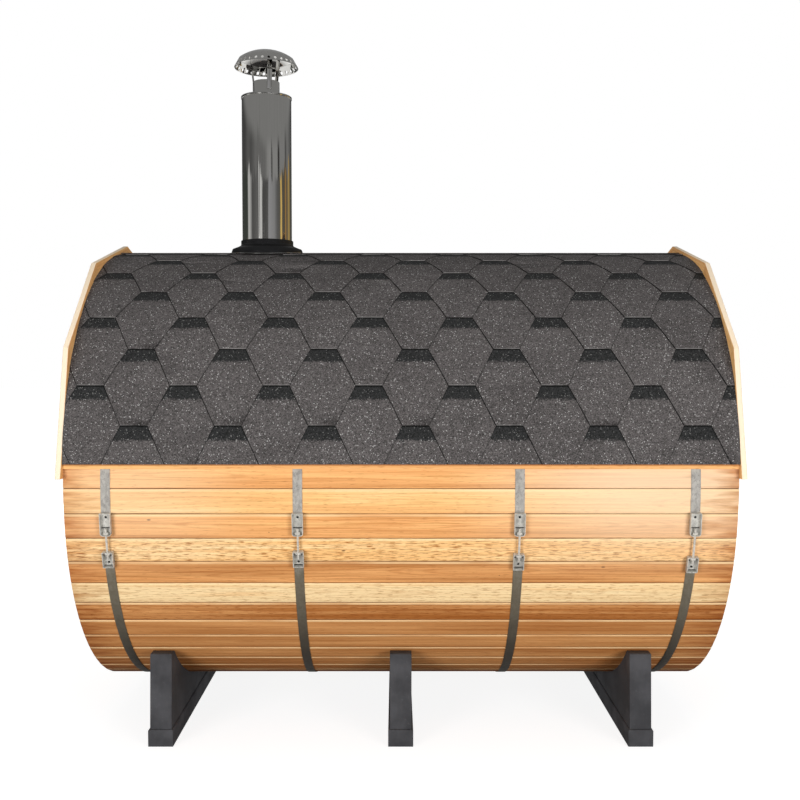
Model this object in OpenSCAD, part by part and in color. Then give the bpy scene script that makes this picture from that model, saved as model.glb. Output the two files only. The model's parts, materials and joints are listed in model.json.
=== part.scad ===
// Barrel sauna: a lying barrel of timber staves on three cradles, drawn together by
// four steel bands, with a shingled upper half, end trim boards and an insulated flue.
// Millimetres. X runs along the barrel, -Y is the side with the band tensioners,
// Z = 0 is the ground under the cradles.

/* [Barrel] */
// Outside diameter of the barrel, across the flats of the staves
barrel_d = 1800; // [1500:10:2200]
// Length of the staves
barrel_l = 2400; // [2000:10:3200]
// Number of staves round the barrel, with a joint level with the axis
stave_n = 62; // [50:4:74]
// Thickness of a stave
stave_t = 38; // [28:1:50]
// Gap in the joint between two staves
stave_gap = 0.4; // [0.2:0.1:1]
// Width of the bevel along each outer edge of a stave
stave_bevel_w = 6; // [2:0.5:12]
// Depth of that bevel
stave_bevel_d = 2.5; // [1:0.5:6]

/* [End walls] */
// Thickness of the end walls
wall_t = 38; // [28:1:50]
// Distance from the ends of the staves to the outside of the end walls
wall_inset = 60; // [40:1:140]
// Depth of the groove in the staves that holds an end wall
croze_d = 8; // [4:1:15]
// Clearance of an end wall in its groove
croze_gap = 0.5; // [0.3:0.1:0.8]

/* [Door] */
// Width of the doorway in the wall
doorway_w = 640; // [560:10:720]
// Height of wall left over the top corners of the doorway
wall_over_door = 48; // [20:1:150]
// Height of wall left under the bottom corners of the doorway
wall_under_door = 68; // [20:1:150]
// Thickness of the boards that line the doorway
frame_t = 28; // [18:1:40]
// How far the lining stands out from each side of the wall
frame_reveal = 12; // [4:1:25]
// Gap round the door leaf
door_gap = 4; // [3:0.5:8]
// Thickness of the door leaf
door_t = 38; // [28:1:50]
// Length of the pull handle
handle_l = 320; // [200:10:500]
// Thickness of the pull handle's bar
handle_t = 26; // [18:1:40]
// Clear space behind the handle
handle_reach = 36; // [25:1:60]
// Height of a hinge
hinge_h = 90; // [60:5:140]
// Distance of the hinges from the top and bottom of the leaf
hinge_inset = 170; // [100:10:300]
// Radius of the hinge knuckle
hinge_r = 7; // [5:0.5:10]
// Thickness of a hinge leaf
hinge_t = 3; // [2:0.5:5]
// Width of each hinge leaf
hinge_leaf_w = 26; // [20:1:28]

/* [Bands] */
// Width of a steel band
band_w = 34; // [20:1:45]
// Thickness of a steel band
band_t = 1.2; // [0.8:0.1:2]
// Distance of the left outer band from the left end of the staves
left_outer_band = 150; // [100:5:215]
// Distance of the left inner band from the left end of the staves
left_inner_band = 832; // [780:1:860]
// Distance of the right inner band from the right end of the staves
right_inner_band = 778; // [740:1:860]
// Distance of the right outer band from the right end of the staves
right_outer_band = 154; // [100:2:214]
// Angle below the axis of the top of the upper lugs
lug_top_a = 5.4; // [4:0.1:10]
// Open lengths between the two lugs of the four tensioners, from the left
lug_open = [61, 59, 70, 81]; // [35:1:90]
// Length of the upper lugs
upper_lug_l = 84; // [70:1:100]
// Length of the lower lugs
lower_lug_l = 61; // [58:1:100]
// Thickness of the pressed sheet of a lug
lug_t = 2.5; // [2:0.5:4]
// Height of a lug's rim over the band
lug_h = 18; // [17:1:26]
// Width of a lug
lug_w = 39; // [36:1:56]
// Corner radius of the upper lugs where the rod leaves them
upper_lug_corner = 10; // [2:1:14]
// Corner radius of the lower lugs where the rod leaves them
lower_lug_corner = 3; // [1:1:14]
// Radius of the cross pins that the rod screws into
cross_pin_r = 5; // [4.5:0.5:6]
// Radius of the hole in a lug's floor
lug_hole_r = 4.5; // [3:0.5:6]
// Distance of that hole from the strap end of a lug
lug_hole_y = 17; // [15:1:24]
// Width of the slits in a lug's floor
lug_slit = 4; // [2:0.5:5]
// Distance from the rod end of the upper lugs to their second slit
upper_slit_y = 30; // [28:1:34]
// Distance from the rod end of the lower lugs to their second slit
lower_slit_y = 20; // [19:1:24]
// Radius of the tension rod
rod_r = 4; // [3:0.5:5]
// Clearance round the rod in the lugs
rod_gap = 1; // [0.6:0.1:2]

/* [Roof] */
// Thickness of the roof boards under the shingles
roof_board_t = 6; // [5:1:15]
// Number of roof boards on each side
roof_board_n = 15; // [12:1:20]
// Gap between two roof boards
roof_board_gap = 0.4; // [0.2:0.1:2]
// Angle above the axis of the lower edge of the roof boards
roof_start_a = 4.45; // [2:0.05:8]
// Width of roof board that shows below the shingles
eave_show = 16; // [8:1:30]
// Thickness of a shingle
shingle_t = 2.8; // [2:0.2:5]
// Height of shingle tab that shows in a course
exposure = 148.6; // [120:0.1:180]
// Height of the lowest course, whose tabs are cut off straight at the eave
eave_exposure = 138.6; // [110:0.1:145]
// Distance between two tabs of a course
tab_pitch = 334; // [280:1:400]
// Width of a tab at its lower edge
tab_low_w = 96; // [60:1:130]
// Distance of the nearest tab of the second course from the middle of the barrel
tab_shift = 52; // [-150:1:150]
// Width of the ridge shingles
ridge_w = 220; // [160:10:300]
// Fitting gap between the layers of the roof
layer_gap = 0.3; // [0.2:0.1:0.5]

/* [End trim] */
// Thickness of the trim boards along the barrel
trim_t = 20; // [15:1:30]
// Width of the trim boards
trim_w = 92; // [75:1:130]
// How far the corner between two trim boards stands over the roof boards
trim_over = 50; // [40:1:70]
// How far the lower ends of the trim stand over the roof boards
trim_end_over = 20; // [12:1:50]
// How far the peak of the trim stands over the roof boards
trim_peak_over = 44; // [30:1:60]
// Number of trim boards on each side
trim_n = 3; // [2:1:5]
// Angle above the axis of the lower ends of the trim
trim_start_a = 2.2; // [2:0.1:6]
// Gap between two trim boards
trim_gap = 0.4; // [0.2:0.1:1]

/* [Flue] */
// Distance of the flue from the left end of the staves
flue_inset = 615; // [520:5:640]
// Radius of the insulated pipe
pipe_r = 108; // [85:1:120]
// Height of the insulated pipe over the top of the staves
pipe_h = 697; // [400:1:1200]
// Sheet thickness of both pipes and of the rain cap
sheet_t = 2; // [1.5:0.5:3]
// How far the pipes reach below the ceiling
pipe_drop = 30; // [15:1:80]
// Gap between the pipe and the hole through the roof
pipe_gap = 3; // [2:0.5:6]
// Radius of the inner smoke pipe
smoke_r = 57; // [45:1:65]
// Height of the smoke pipe over the insulated pipe
smoke_h = 68; // [50:1:100]
// Radius of the rain cap at its rim
cap_r = 139; // [120:1:160]
// Radius of the rain cap where its dome meets its flared skirt
cap_dome_r = 119; // [100:1:130]
// Height of the skirt
cap_skirt_h = 36; // [20:1:50]
// Height of the dome over the skirt
cap_dome_h = 38; // [25:1:60]
// Height of the cap's rim over the smoke pipe
cap_lift = 62; // [40:1:90]
// Number of holes round the skirt
skirt_hole_n = 30; // [16:2:36]
// Radius of a hole in the skirt
skirt_hole_r = 6; // [4:0.5:8]
// Number of flat brackets that carry the rain cap
bracket_n = 3; // [3:1:6]
// Width of a bracket
bracket_w = 22; // [14:1:30]
// Length of a bracket along the smoke pipe
bracket_seat = 40; // [20:1:45]
// How far a bracket leans outwards on its way up to the cap
bracket_lean = 14; // [0:1:25]
// Turn of the brackets about the pipe
bracket_turn = 20; // [0:1:89]
// Radius of the rubber boot at the roof
boot_r = 155; // [145:1:180]
// Height of the boot's foot over the ridge shingles
boot_foot_h = 29; // [20:1:45]
// Height of the boot's collar over its foot
boot_collar_h = 26; // [16:1:50]
// Thickness of the boot's collar
boot_collar_t = 6; // [4:1:10]
// Thickness of the sheet flange under the boot
flange_t = 2; // [1:0.5:4]
// How far the flange reaches past the boot
flange_over = 5; // [2:1:12]

/* [Cradles] */
// Distance of the outer cradles from the ends of the staves
cradle_inset = 282; // [262:1:350]
// Thickness of a saddle along the barrel
saddle_t = 83; // [60:1:100]
// Height of a saddle under the lowest stave
saddle_web = 57; // [30:1:100]
// Half length of a saddle at its foot
saddle_foot = 665; // [560:5:700]
// Half length of a saddle at its horns
saddle_horn = 650; // [540:5:680]
// Width of the flat top of each horn
horn_flat = 47; // [25:1:80]
// Width of a cradle base
base_w = 96; // [84:1:130]
// Height of a cradle base
base_h = 66; // [40:1:100]
// How far a base reaches past its saddle
base_over = 7; // [2:1:30]
// Chamfer along the edges of the cradles
cradle_chamfer = 4; // [1:0.5:8]

/* [Hidden] */
$fn = 96;
ROUND_FN = 180;
EPS = 0.01;
FAR = 4 * barrel_d;

// Barrel
barrel_r = barrel_d / 2;
stave_a = 360 / stave_n;
inner_r = barrel_r - stave_t;
half_l = barrel_l / 2;
stave_half_w = barrel_r * tan(stave_a / 2) - stave_gap / 2;
corner_r = sqrt(pow(barrel_r, 2) + pow(stave_half_w - stave_bevel_w, 2));
axis_z = base_h + saddle_web + barrel_r;
seat_r = corner_r + layer_gap;

// Groups of staves, from the joint level with the axis on the tensioner side, going up
crown_n = 2 * floor(stave_n / 14) + 1;
side_n = (stave_n / 2 - crown_n) / 2;
crown_first = side_n;
back_upper_first = crown_first + crown_n;
back_lower_first = stave_n / 2;
floor_first = back_lower_first + side_n;
front_lower_first = floor_first + crown_n;

// End walls and door
wall_out_x = half_l - wall_inset;
wall_in_x = wall_out_x - wall_t;
croze_r = inner_r + croze_d;
wall_r = croze_r - croze_gap;
doorway_chord = sqrt(pow(wall_r, 2) - pow(doorway_w / 2, 2));
doorway_top = doorway_chord - wall_over_door;
doorway_drop = doorway_chord - wall_under_door;
leaf_w = doorway_w - 2 * frame_t - 2 * door_gap;
leaf_h = doorway_top + doorway_drop - 2 * frame_t - 2 * door_gap;
leaf_z = (doorway_top - doorway_drop) / 2;
leaf_hinge_y = leaf_w / 2 + door_gap / 2;
FRAME_GAP = 0.3;

// Places on the door handle in parts of its thickness
HANDLE_INSET = 3;
HANDLE_END = 1.5;

// Bands
BAND_END = 12;
band_r = corner_r + layer_gap;
band_out_r = band_r + band_t;
band_xs = [
    -half_l + left_outer_band, -half_l + left_inner_band,
    half_l - right_inner_band, half_l - right_outer_band
];
lug_seat_r = band_out_r + layer_gap;
rod_place_r = lug_seat_r + (lug_h + lug_t) / 2;
upper_lug_a = lug_top_a + lug_angle(upper_lug_l) / 2;
upper_end_a = lug_top_a + lug_angle(upper_lug_l);
ROD_TAIL = 14;
pin_slack = cross_pin_r * tan(lug_angle(upper_lug_l + max(lug_open)));

// Roof
board_in_r = band_out_r + layer_gap;
board_out_r = board_in_r + roof_board_t;
board_a = (90 - roof_start_a) / roof_board_n;
board_corner_r = board_out_r / cos(board_a / 2);
course_in_r = board_corner_r + layer_gap;
eave_a = roof_start_a + arc_angle(eave_show);
exposure_a = arc_angle(exposure);
second_a = eave_a + arc_angle(eave_exposure);
course_n = 1 + floor((90 - second_a) / exposure_a);
tab_in_r = course_in_r + shingle_t + layer_gap;
tab_out_r = tab_in_r + shingle_t;
JOGGLE = 4;
joggle_a = arc_angle(JOGGLE);
gap_a = arc_angle(layer_gap);
CUT_SPARE = 10;
ridge_a = arc_angle(ridge_w / 2);
ridge_in_r = tab_out_r + layer_gap;
ridge_out_r = ridge_in_r + shingle_t;

// Trim
trim_a = (90 - trim_start_a) / trim_n;

// Flue, with heights from the barrel's axis
flue_x = -half_l + flue_inset;
pipe_top = barrel_r + pipe_h;
pipe_bottom = inner_r - pipe_drop;
hole_r = pipe_r + pipe_gap;
smoke_top = pipe_top + smoke_h;
cap_rim_z = smoke_top + cap_lift;
cap_apex_z = cap_rim_z + cap_skirt_h + cap_dome_h;
dome_r = (pow(cap_dome_r, 2) + pow(cap_dome_h, 2)) / (2 * cap_dome_h);
dome_in_r = dome_r - sheet_t;
dome_centre_z = cap_apex_z - dome_r;
bracket_r = smoke_r + layer_gap;
bracket_top_r = bracket_r + bracket_lean;
bracket_reach = sqrt(pow(bracket_top_r + sheet_t, 2) + pow(bracket_w / 2, 2));
bracket_top = dome_centre_z + sqrt(pow(dome_in_r, 2) - pow(bracket_reach, 2)) - layer_gap;
boot_in_r = pipe_r + layer_gap;
boot_top = ridge_out_r + boot_foot_h + boot_collar_h;
flange_in_r = ridge_out_r + layer_gap;
flange_out_r = flange_in_r + flange_t;
PLATE_LIP = 6;
SKIRT_HOLE_Z = 0.32;

// Outline of the boot in parts of its foot's height and of its collar's thickness
BOOT_WALL = 0.25;
BOOT_KNEE = 0.6;
BOOT_KNEE_IN = 0.12;
BOOT_SHOULDER = 2.6;
BOOT_BEAD = 1.3;
BOOT_BEAD_TOP = 1.4;

// Cradles
cradle_xs = [-half_l + cradle_inset, 0, half_l - cradle_inset];
horn_y = saddle_horn - horn_flat;
horn_z = -sqrt(pow(seat_r, 2) - pow(horn_y, 2));
saddle_bottom = -(barrel_r + saddle_web);

WOOD = [0.85, 0.62, 0.38];
PALE_WOOD = [0.90, 0.74, 0.52];
SHINGLE = [0.28, 0.27, 0.27];
STEEL = [0.62, 0.62, 0.60];
BRIGHT_STEEL = [0.70, 0.70, 0.68];
RUBBER = [0.06, 0.06, 0.06];
GREY_PAINT = [0.27, 0.28, 0.29];

// Angle that a length takes up round the roof
function arc_angle(l) = l / course_in_r * 180 / PI;

// Angle above the axis of the lower edge of the tabs of course k
function tab_low_angle(k) = k == 0 ? eave_a : second_a + (k - 1) * exposure_a;

// Angle that a straight piece of some length takes up on the band
function lug_angle(l) = 2 * atan(l / 2 / lug_seat_r);

// Angles below the axis of parts of the tensioner of band i
function open_angle(i) = 2 * atan(lug_open[i] / 2 / rod_place_r);
function rod_angle(i) = upper_end_a + open_angle(i) / 2;
function lower_lug_angle(i) = upper_end_a + open_angle(i) + lug_angle(lower_lug_l) / 2;

// Outer corner k of the trim, counted from its lower end on the tensioner side over the peak
function trim_corner(k) =
    let (
        from_end = min(k, 2 * trim_n - k),
        over = from_end == 0 ? trim_end_over : from_end == trim_n ? trim_peak_over : trim_over,
        a = trim_start_a + k * trim_a
    )
    (board_out_r + over) * [-cos(a), sin(a)];

// Puts a drawing of the barrel's section on the axis: drawn X becomes Y, drawn Y becomes Z
// and the height of an extrusion becomes X.
module on_axis() {
    translate([0, 0, axis_z]) rotate([90, 0, 90]) children();
}

// Turns a drawing whose X points outwards to an angle above the axis on the tensioner side
module at_angle(a) {
    rotate(180 - a) children();
}

// Sector of the section between two angles above the axis on the tensioner side
module sector(from_a, to_a) {
    mid = (from_a + to_a) / 2;
    at_angle(mid)
        polygon([
            [0, 0],
            FAR * [cos((to_a - from_a) / 2), -sin((to_a - from_a) / 2)],
            FAR * [cos((to_a - from_a) / 2), sin((to_a - from_a) / 2)]
        ]);
}

// Flat ended board of the barrel's section, between two flats and two radial sides
module radial_board_2d(in_r, out_r, a, gap, bevel_w = 0, bevel_d = 0) {
    shoulder_r = out_r - bevel_d;
    half_in = in_r * tan(a / 2) - gap / 2;
    half_shoulder = shoulder_r * tan(a / 2) - gap / 2;
    half_out = out_r * tan(a / 2) - gap / 2 - bevel_w;
    sides = bevel_w > 0
        ? [[shoulder_r, -half_shoulder], [out_r, -half_out], [out_r, half_out], [shoulder_r, half_shoulder]]
        : [[out_r, -half_out], [out_r, half_out]];
    polygon(concat([[in_r, -half_in]], sides, [[in_r, half_in]]));
}

// Vertical hole for the flue through everything above the cabin
module flue_hole() {
    translate([flue_x, 0, axis_z]) cylinder(r = hole_r, h = FAR);
}

// Staves
module stave() {
    linear_extrude(barrel_l, center = true)
        radial_board_2d(inner_r, barrel_r, stave_a, stave_gap, stave_bevel_w, stave_bevel_d);
}

module staves(first, count) {
    color(WOOD)
        on_axis()
            difference() {
                for (k = [first : first + count - 1])
                    at_angle((k + 0.5) * stave_a) stave();
                for (side = [-1, 1])
                    translate([0, 0, side * (wall_out_x + wall_in_x) / 2])
                        cylinder(r = croze_r, h = wall_t + 2 * croze_gap, center = true, $fn = ROUND_FN);
            }
}

module crown_staves() {
    color(WOOD)
        difference() {
            staves(crown_first, crown_n);
            flue_hole();
        }
}

// End walls
module wall_disc(out_x) {
    on_axis()
        translate([0, 0, out_x - wall_t / 2])
            cylinder(r = wall_r, h = wall_t, center = true, $fn = ROUND_FN);
}

module left_end_wall() {
    color(WOOD) wall_disc(-wall_in_x);
}

// Part of the right wall inside a box in Y and Z, with heights from the axis
module right_wall_part(y0, y1, z0, z1) {
    color(WOOD)
        intersection() {
            wall_disc(wall_out_x);
            translate([0, y0, axis_z + z0]) cube([FAR, y1 - y0, z1 - z0]);
        }
}

// Door
module frame_board(y0, y1, z0, z1) {
    translate([wall_in_x - frame_reveal, y0, axis_z + z0])
        cube([wall_t + 2 * frame_reveal, y1 - y0, z1 - z0]);
}

module door_frame() {
    half_w = doorway_w / 2 - FRAME_GAP;
    top = doorway_top - FRAME_GAP;
    bottom = -doorway_drop + FRAME_GAP;
    color(PALE_WOOD) {
        for (side = [-1, 1])
            mirror([0, side < 0 ? 1 : 0, 0])
                frame_board(half_w - frame_t, half_w, bottom, top);
        frame_board(-half_w + frame_t + FRAME_GAP, half_w - frame_t - FRAME_GAP, top - frame_t, top);
        frame_board(-half_w + frame_t + FRAME_GAP, half_w - frame_t - FRAME_GAP, bottom, bottom + frame_t);
    }
}

module door_leaf() {
    color(WOOD)
        translate([wall_out_x + frame_reveal - door_t, -leaf_w / 2, axis_z + leaf_z - leaf_h / 2])
            cube([door_t, leaf_w, leaf_h]);
}

// Butt hinge on the face of the leaf and its frame, with its knuckle over the gap
module door_hinge(z) {
    translate([wall_out_x + frame_reveal + layer_gap, leaf_hinge_y, axis_z + z]) {
        translate([hinge_r, 0, -hinge_h / 2]) cylinder(r = hinge_r, h = hinge_h);
        translate([0, -hinge_leaf_w, -hinge_h / 2]) cube([hinge_t, 2 * hinge_leaf_w, hinge_h]);
    }
}

module door_hinges() {
    color(STEEL)
        for (side = [-1, 1])
            door_hinge(leaf_z + side * (leaf_h / 2 - hinge_inset));
}

module door_handle() {
    face_x = wall_out_x + frame_reveal + layer_gap;
    handle_y = -leaf_w / 2 + HANDLE_INSET * handle_t;
    post_z = handle_l / 2 - HANDLE_END * handle_t;
    color(PALE_WOOD)
        translate([face_x, handle_y, axis_z + leaf_z]) {
            translate([handle_reach, -handle_t / 2, -handle_l / 2]) cube([handle_t, handle_t, handle_l]);
            for (side = [-1, 1])
                translate([0, -handle_t / 2, side * post_z - handle_t / 2])
                    cube([handle_reach + EPS, handle_t, handle_t]);
        }
}

// Bands: a band runs from under the upper lug over the barrel to under the lower lug
module band(i) {
    end_a = lug_angle(BAND_END);
    from_a = -upper_end_a + end_a;
    to_a = 360 - lower_lug_angle(i) + lug_angle(lower_lug_l) / 2 - end_a;
    color(STEEL)
        on_axis()
            translate([0, 0, band_xs[i] - band_w / 2])
                rotate(180 - to_a)
                    rotate_extrude(angle = to_a - from_a, $fn = ROUND_FN)
                        translate([band_r, 0]) square([band_t, band_w]);
}

// Frame of a lug on its band: X outwards from the band, Y down along the band, Z along the barrel
module at_lug(i, a) {
    on_axis() translate([0, 0, band_xs[i]]) at_angle(-a) translate([lug_seat_r, 0, 0]) children();
}

// Plan of a lug, drawn with its strap end at the left and its rounded rod end at the right
module lug_plan(l, w, corner) {
    translate([-l / 2, -w / 2]) square([l - corner, w]);
    translate([-l / 2, -w / 2 + corner]) square([l, w - 2 * corner]);
    for (side = [-1, 1])
        translate([l / 2 - corner, side * (w / 2 - corner)]) circle(r = corner);
}

// Pressed steel tray on the band. The rod passes through its rod end, the band comes up through
// a slit in its floor at the other end, and a second slit lies behind the cross pin.
module lug(l, corner, slit_y) {
    inner_l = l - 2 * lug_t;
    inner_w = lug_w - 2 * lug_t;
    difference() {
        rotate([90, 0, 90]) linear_extrude(lug_h) lug_plan(l, lug_w, corner);
        translate([lug_t, 0, 0])
            rotate([90, 0, 90])
                linear_extrude(lug_h) lug_plan(inner_l, inner_w, max(corner - lug_t, EPS));
        for (y = [-inner_l / 2, l / 2 - slit_y])
            translate([-lug_h / 2, y, -inner_w / 2]) cube([lug_h, lug_slit, inner_w]);
        translate([0, -l / 2 + lug_hole_y, 0])
            rotate([0, 90, 0]) cylinder(r = lug_hole_r, h = lug_h, center = true);
        translate([(lug_h + lug_t) / 2, l / 2, 0])
            rotate([90, 0, 0]) cylinder(r = rod_r + rod_gap, h = 4 * lug_t, center = true);
    }
}

module upper_lugs() {
    color(STEEL)
        for (i = [0 : 3])
            at_lug(i, upper_lug_a) lug(upper_lug_l, upper_lug_corner, upper_slit_y);
}

module lower_lugs() {
    color(STEEL)
        for (i = [0 : 3])
            at_lug(i, lower_lug_angle(i)) rotate([180, 0, 0]) lug(lower_lug_l, lower_lug_corner, lower_slit_y);
}

// Threaded rod with a cross pin behind the rod end of each lug
module tension_rod(i) {
    pin_y = lug_open[i] / 2 + lug_t + layer_gap + pin_slack + cross_pin_r;
    pin_l = lug_w - 2 * max(lug_t, upper_lug_corner) - 2 * layer_gap;
    on_axis()
        translate([0, 0, band_xs[i]])
            at_angle(-rod_angle(i))
                translate([rod_place_r, 0, 0]) {
                    rotate([90, 0, 0])
                        cylinder(r = rod_r, h = 2 * (pin_y + cross_pin_r + ROD_TAIL), center = true);
                    for (side = [-1, 1])
                        translate([0, side * pin_y, 0]) cylinder(r = cross_pin_r, h = pin_l, center = true);
                }
}

module tension_rods() {
    color(BRIGHT_STEEL)
        for (i = [0 : 3]) tension_rod(i);
}

// Roof boards, on the front for side = 1 and mirrored to the back for side = -1
module on_side(side) {
    mirror([0, side < 0 ? 1 : 0, 0]) children();
}

module roof_boards(side) {
    color(WOOD)
        difference() {
            on_side(side)
                on_axis()
                    for (k = [0 : roof_board_n - 1])
                        at_angle(roof_start_a + (k + 0.5) * board_a)
                            linear_extrude(barrel_l, center = true)
                                radial_board_2d(board_in_r, board_out_r, board_a, roof_board_gap);
            flue_hole();
        }
}

// Part of the roof's section between two angles and two radii
module ring_part(from_a, to_a, in_r, out_r) {
    intersection() {
        sector(from_a, to_a);
        difference() {
            circle(r = out_r, $fn = ROUND_FN);
            circle(r = in_r, $fn = ROUND_FN);
        }
    }
}

// Section of course k. Its tabs lie on the course below. Past a joggle, its upper half lies on the boards,
// under the tabs of the next course.
module course_section(k) {
    low_a = tab_low_angle(k);
    waist_a = tab_low_angle(k + 1);
    high_a = min(tab_low_angle(k + 2) - joggle_a, 90) - gap_a;
    ring_part(low_a + gap_a, waist_a, tab_in_r, tab_out_r);
    ring_part(waist_a - joggle_a, waist_a, course_in_r, tab_out_r);
    ring_part(waist_a - joggle_a, high_a, course_in_r, course_in_r + shingle_t);
}

// Gap between two tabs of course k, which widens from the waist down
module tab_gap(k) {
    waist_a = tab_low_angle(k + 1);
    mid_a = waist_a - exposure_a / 2;
    top_v = -(exposure / 2 - JOGGLE);
    low_v = exposure / 2 + CUT_SPARE;
    low_half = (tab_pitch - tab_low_w) / 2 + CUT_SPARE * (tab_pitch - 2 * tab_low_w) / (2 * exposure);
    at_angle(mid_a)
        translate([course_in_r, 0, 0])
            rotate([0, 90, 0])
                linear_extrude(4 * CUT_SPARE, center = true)
                    polygon([
                        [-tab_low_w / 2, top_v], [tab_low_w / 2, top_v],
                        [low_half, low_v], [-low_half, low_v]
                    ]);
}

// One course of shingles, with its tabs half a pitch along from those of the courses next to it
module shingle_course(k) {
    first_gap = tab_shift + (k % 2 == 0 ? 0 : tab_pitch / 2);
    span = ceil(half_l / tab_pitch) + 1;
    difference() {
        linear_extrude(barrel_l, center = true) course_section(k);
        for (j = [-span : span])
            translate([0, 0, first_gap + j * tab_pitch]) tab_gap(k);
    }
}

// Plain strip at the eave, under the tabs of the lowest course
module starter_strip() {
    linear_extrude(barrel_l, center = true)
        ring_part(eave_a, second_a - joggle_a - gap_a, course_in_r, course_in_r + shingle_t);
}

module shingles(side) {
    color(SHINGLE)
        difference() {
            on_side(side)
                on_axis() {
                    starter_strip();
                    for (k = [0 : course_n - 1]) shingle_course(k);
                }
            flue_hole();
        }
}

module ridge_shingles() {
    color(SHINGLE)
        difference() {
            on_axis()
                linear_extrude(barrel_l, center = true)
                    ring_part(90 - ridge_a, 90 + ridge_a, ridge_in_r, ridge_out_r);
            flue_hole();
        }
}

// Straight board inside the line between two outer corners, with radial ends
module trim_board_2d(from, to) {
    along = (to - from) / norm(to - from);
    line_r = norm(from - (from * along) * along);
    inner = 1 - trim_w / line_r;
    slack = trim_gap / 2 * along;
    polygon([inner * from + slack, inner * to - slack, to - slack, from + slack]);
}

// Trim boards: mitred boards that follow the roof round each end
module trim_boards(x) {
    color(PALE_WOOD)
        on_axis()
            translate([0, 0, x])
                for (k = [0 : 2 * trim_n - 1])
                    linear_extrude(trim_t) trim_board_2d(trim_corner(k), trim_corner(k + 1));
}

// Flue
module at_flue() {
    translate([flue_x, 0, axis_z]) children();
}

module tube(r, t, z0, z1) {
    translate([0, 0, z0])
        difference() {
            cylinder(r = r, h = z1 - z0);
            translate([0, 0, -EPS]) cylinder(r = r - t, h = z1 - z0 + 2 * EPS);
        }
}

module flue_boot() {
    shoulder_r = pipe_r + BOOT_SHOULDER * boot_collar_t;
    bead_r = pipe_r + BOOT_BEAD * boot_collar_t;
    foot_z = ridge_out_r + boot_foot_h;
    color(RUBBER)
        difference() {
            at_flue()
                rotate_extrude()
                    polygon([
                        [boot_in_r, inner_r], [boot_r, inner_r],
                        [boot_r, ridge_out_r + BOOT_WALL * boot_foot_h],
                        [boot_r - BOOT_KNEE_IN * boot_foot_h, ridge_out_r + BOOT_KNEE * boot_foot_h],
                        [shoulder_r + boot_collar_t, foot_z - boot_collar_t / 2],
                        [shoulder_r, foot_z], [bead_r, foot_z], [bead_r, foot_z + boot_collar_t],
                        [pipe_r + boot_collar_t, foot_z + BOOT_BEAD_TOP * boot_collar_t],
                        [pipe_r + boot_collar_t, boot_top], [boot_in_r, boot_top]
                    ]);
            on_axis() cylinder(r = flange_out_r + layer_gap, h = FAR, center = true, $fn = ROUND_FN);
        }
}

// Round sheet, bent over the ridge, that the boot sits on
module flue_flange() {
    color(BRIGHT_STEEL)
        difference() {
            intersection() {
                on_axis() cylinder(r = flange_out_r, h = FAR, center = true, $fn = ROUND_FN);
                at_flue() cylinder(r = boot_r + flange_over, h = FAR);
            }
            on_axis() cylinder(r = flange_in_r, h = 2 * FAR, center = true, $fn = ROUND_FN);
            flue_hole();
        }
}

module flue_insulated_pipe() {
    color(BRIGHT_STEEL) at_flue() tube(pipe_r, sheet_t, pipe_bottom, pipe_top);
}

// Ring that closes the space between the two pipes, with a rolled lip over the outer one
module flue_top_plate() {
    color(BRIGHT_STEEL)
        at_flue()
            rotate_extrude()
                polygon([
                    [smoke_r + layer_gap, pipe_top + layer_gap], [pipe_r + layer_gap, pipe_top + layer_gap],
                    [pipe_r + layer_gap, pipe_top - PLATE_LIP], [pipe_r + layer_gap + sheet_t, pipe_top - PLATE_LIP],
                    [pipe_r + layer_gap + sheet_t, pipe_top + layer_gap + sheet_t],
                    [smoke_r + layer_gap, pipe_top + layer_gap + sheet_t]
                ]);
}

module flue_smoke_pipe() {
    color(BRIGHT_STEEL) at_flue() tube(smoke_r, sheet_t, pipe_bottom, smoke_top);
}

// Flat bars, seated on the smoke pipe and bent outwards up to the underside of the cap
module rain_cap_brackets() {
    color(BRIGHT_STEEL)
        at_flue()
            for (k = [0 : bracket_n - 1])
                rotate(bracket_turn - 90 + k * 360 / bracket_n)
                    translate([0, bracket_w / 2, 0])
                        rotate([90, 0, 0])
                            linear_extrude(bracket_w)
                                polygon([
                                    [bracket_r, smoke_top - bracket_seat],
                                    [bracket_r + sheet_t, smoke_top - bracket_seat],
                                    [bracket_r + sheet_t, smoke_top],
                                    [bracket_top_r + sheet_t, bracket_top],
                                    [bracket_top_r, bracket_top],
                                    [bracket_r, smoke_top]
                                ]);
}

// Domed sheet with a flared skirt
module rain_cap_shell() {
    skirt_top = cap_rim_z + cap_skirt_h;
    rotate_extrude()
        difference() {
            union() {
                intersection() {
                    translate([0, dome_centre_z]) circle(r = dome_r, $fn = ROUND_FN);
                    translate([0, skirt_top]) square([cap_dome_r, cap_dome_h]);
                }
                polygon([[0, cap_rim_z], [cap_r, cap_rim_z], [cap_dome_r, skirt_top], [0, skirt_top]]);
            }
            intersection() {
                translate([0, dome_centre_z]) circle(r = dome_in_r, $fn = ROUND_FN);
                translate([0, skirt_top]) square([cap_dome_r - sheet_t, cap_dome_h]);
            }
            polygon([
                [0, cap_rim_z - EPS], [cap_r - sheet_t, cap_rim_z - EPS],
                [cap_dome_r - sheet_t, skirt_top], [0, skirt_top + EPS]
            ]);
            translate([-FAR, 0]) square([FAR, FAR]);
        }
}

module rain_cap() {
    color(BRIGHT_STEEL)
        at_flue()
            difference() {
                rain_cap_shell();
                for (k = [0 : skirt_hole_n - 1])
                    rotate((k + 0.5) * 360 / skirt_hole_n)
                        translate([(cap_r + cap_dome_r) / 2, 0, cap_rim_z + SKIRT_HOLE_Z * cap_skirt_h])
                            rotate([0, 90, 0]) cylinder(r = skirt_hole_r, h = cap_r - cap_dome_r, center = true);
            }
}

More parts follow.
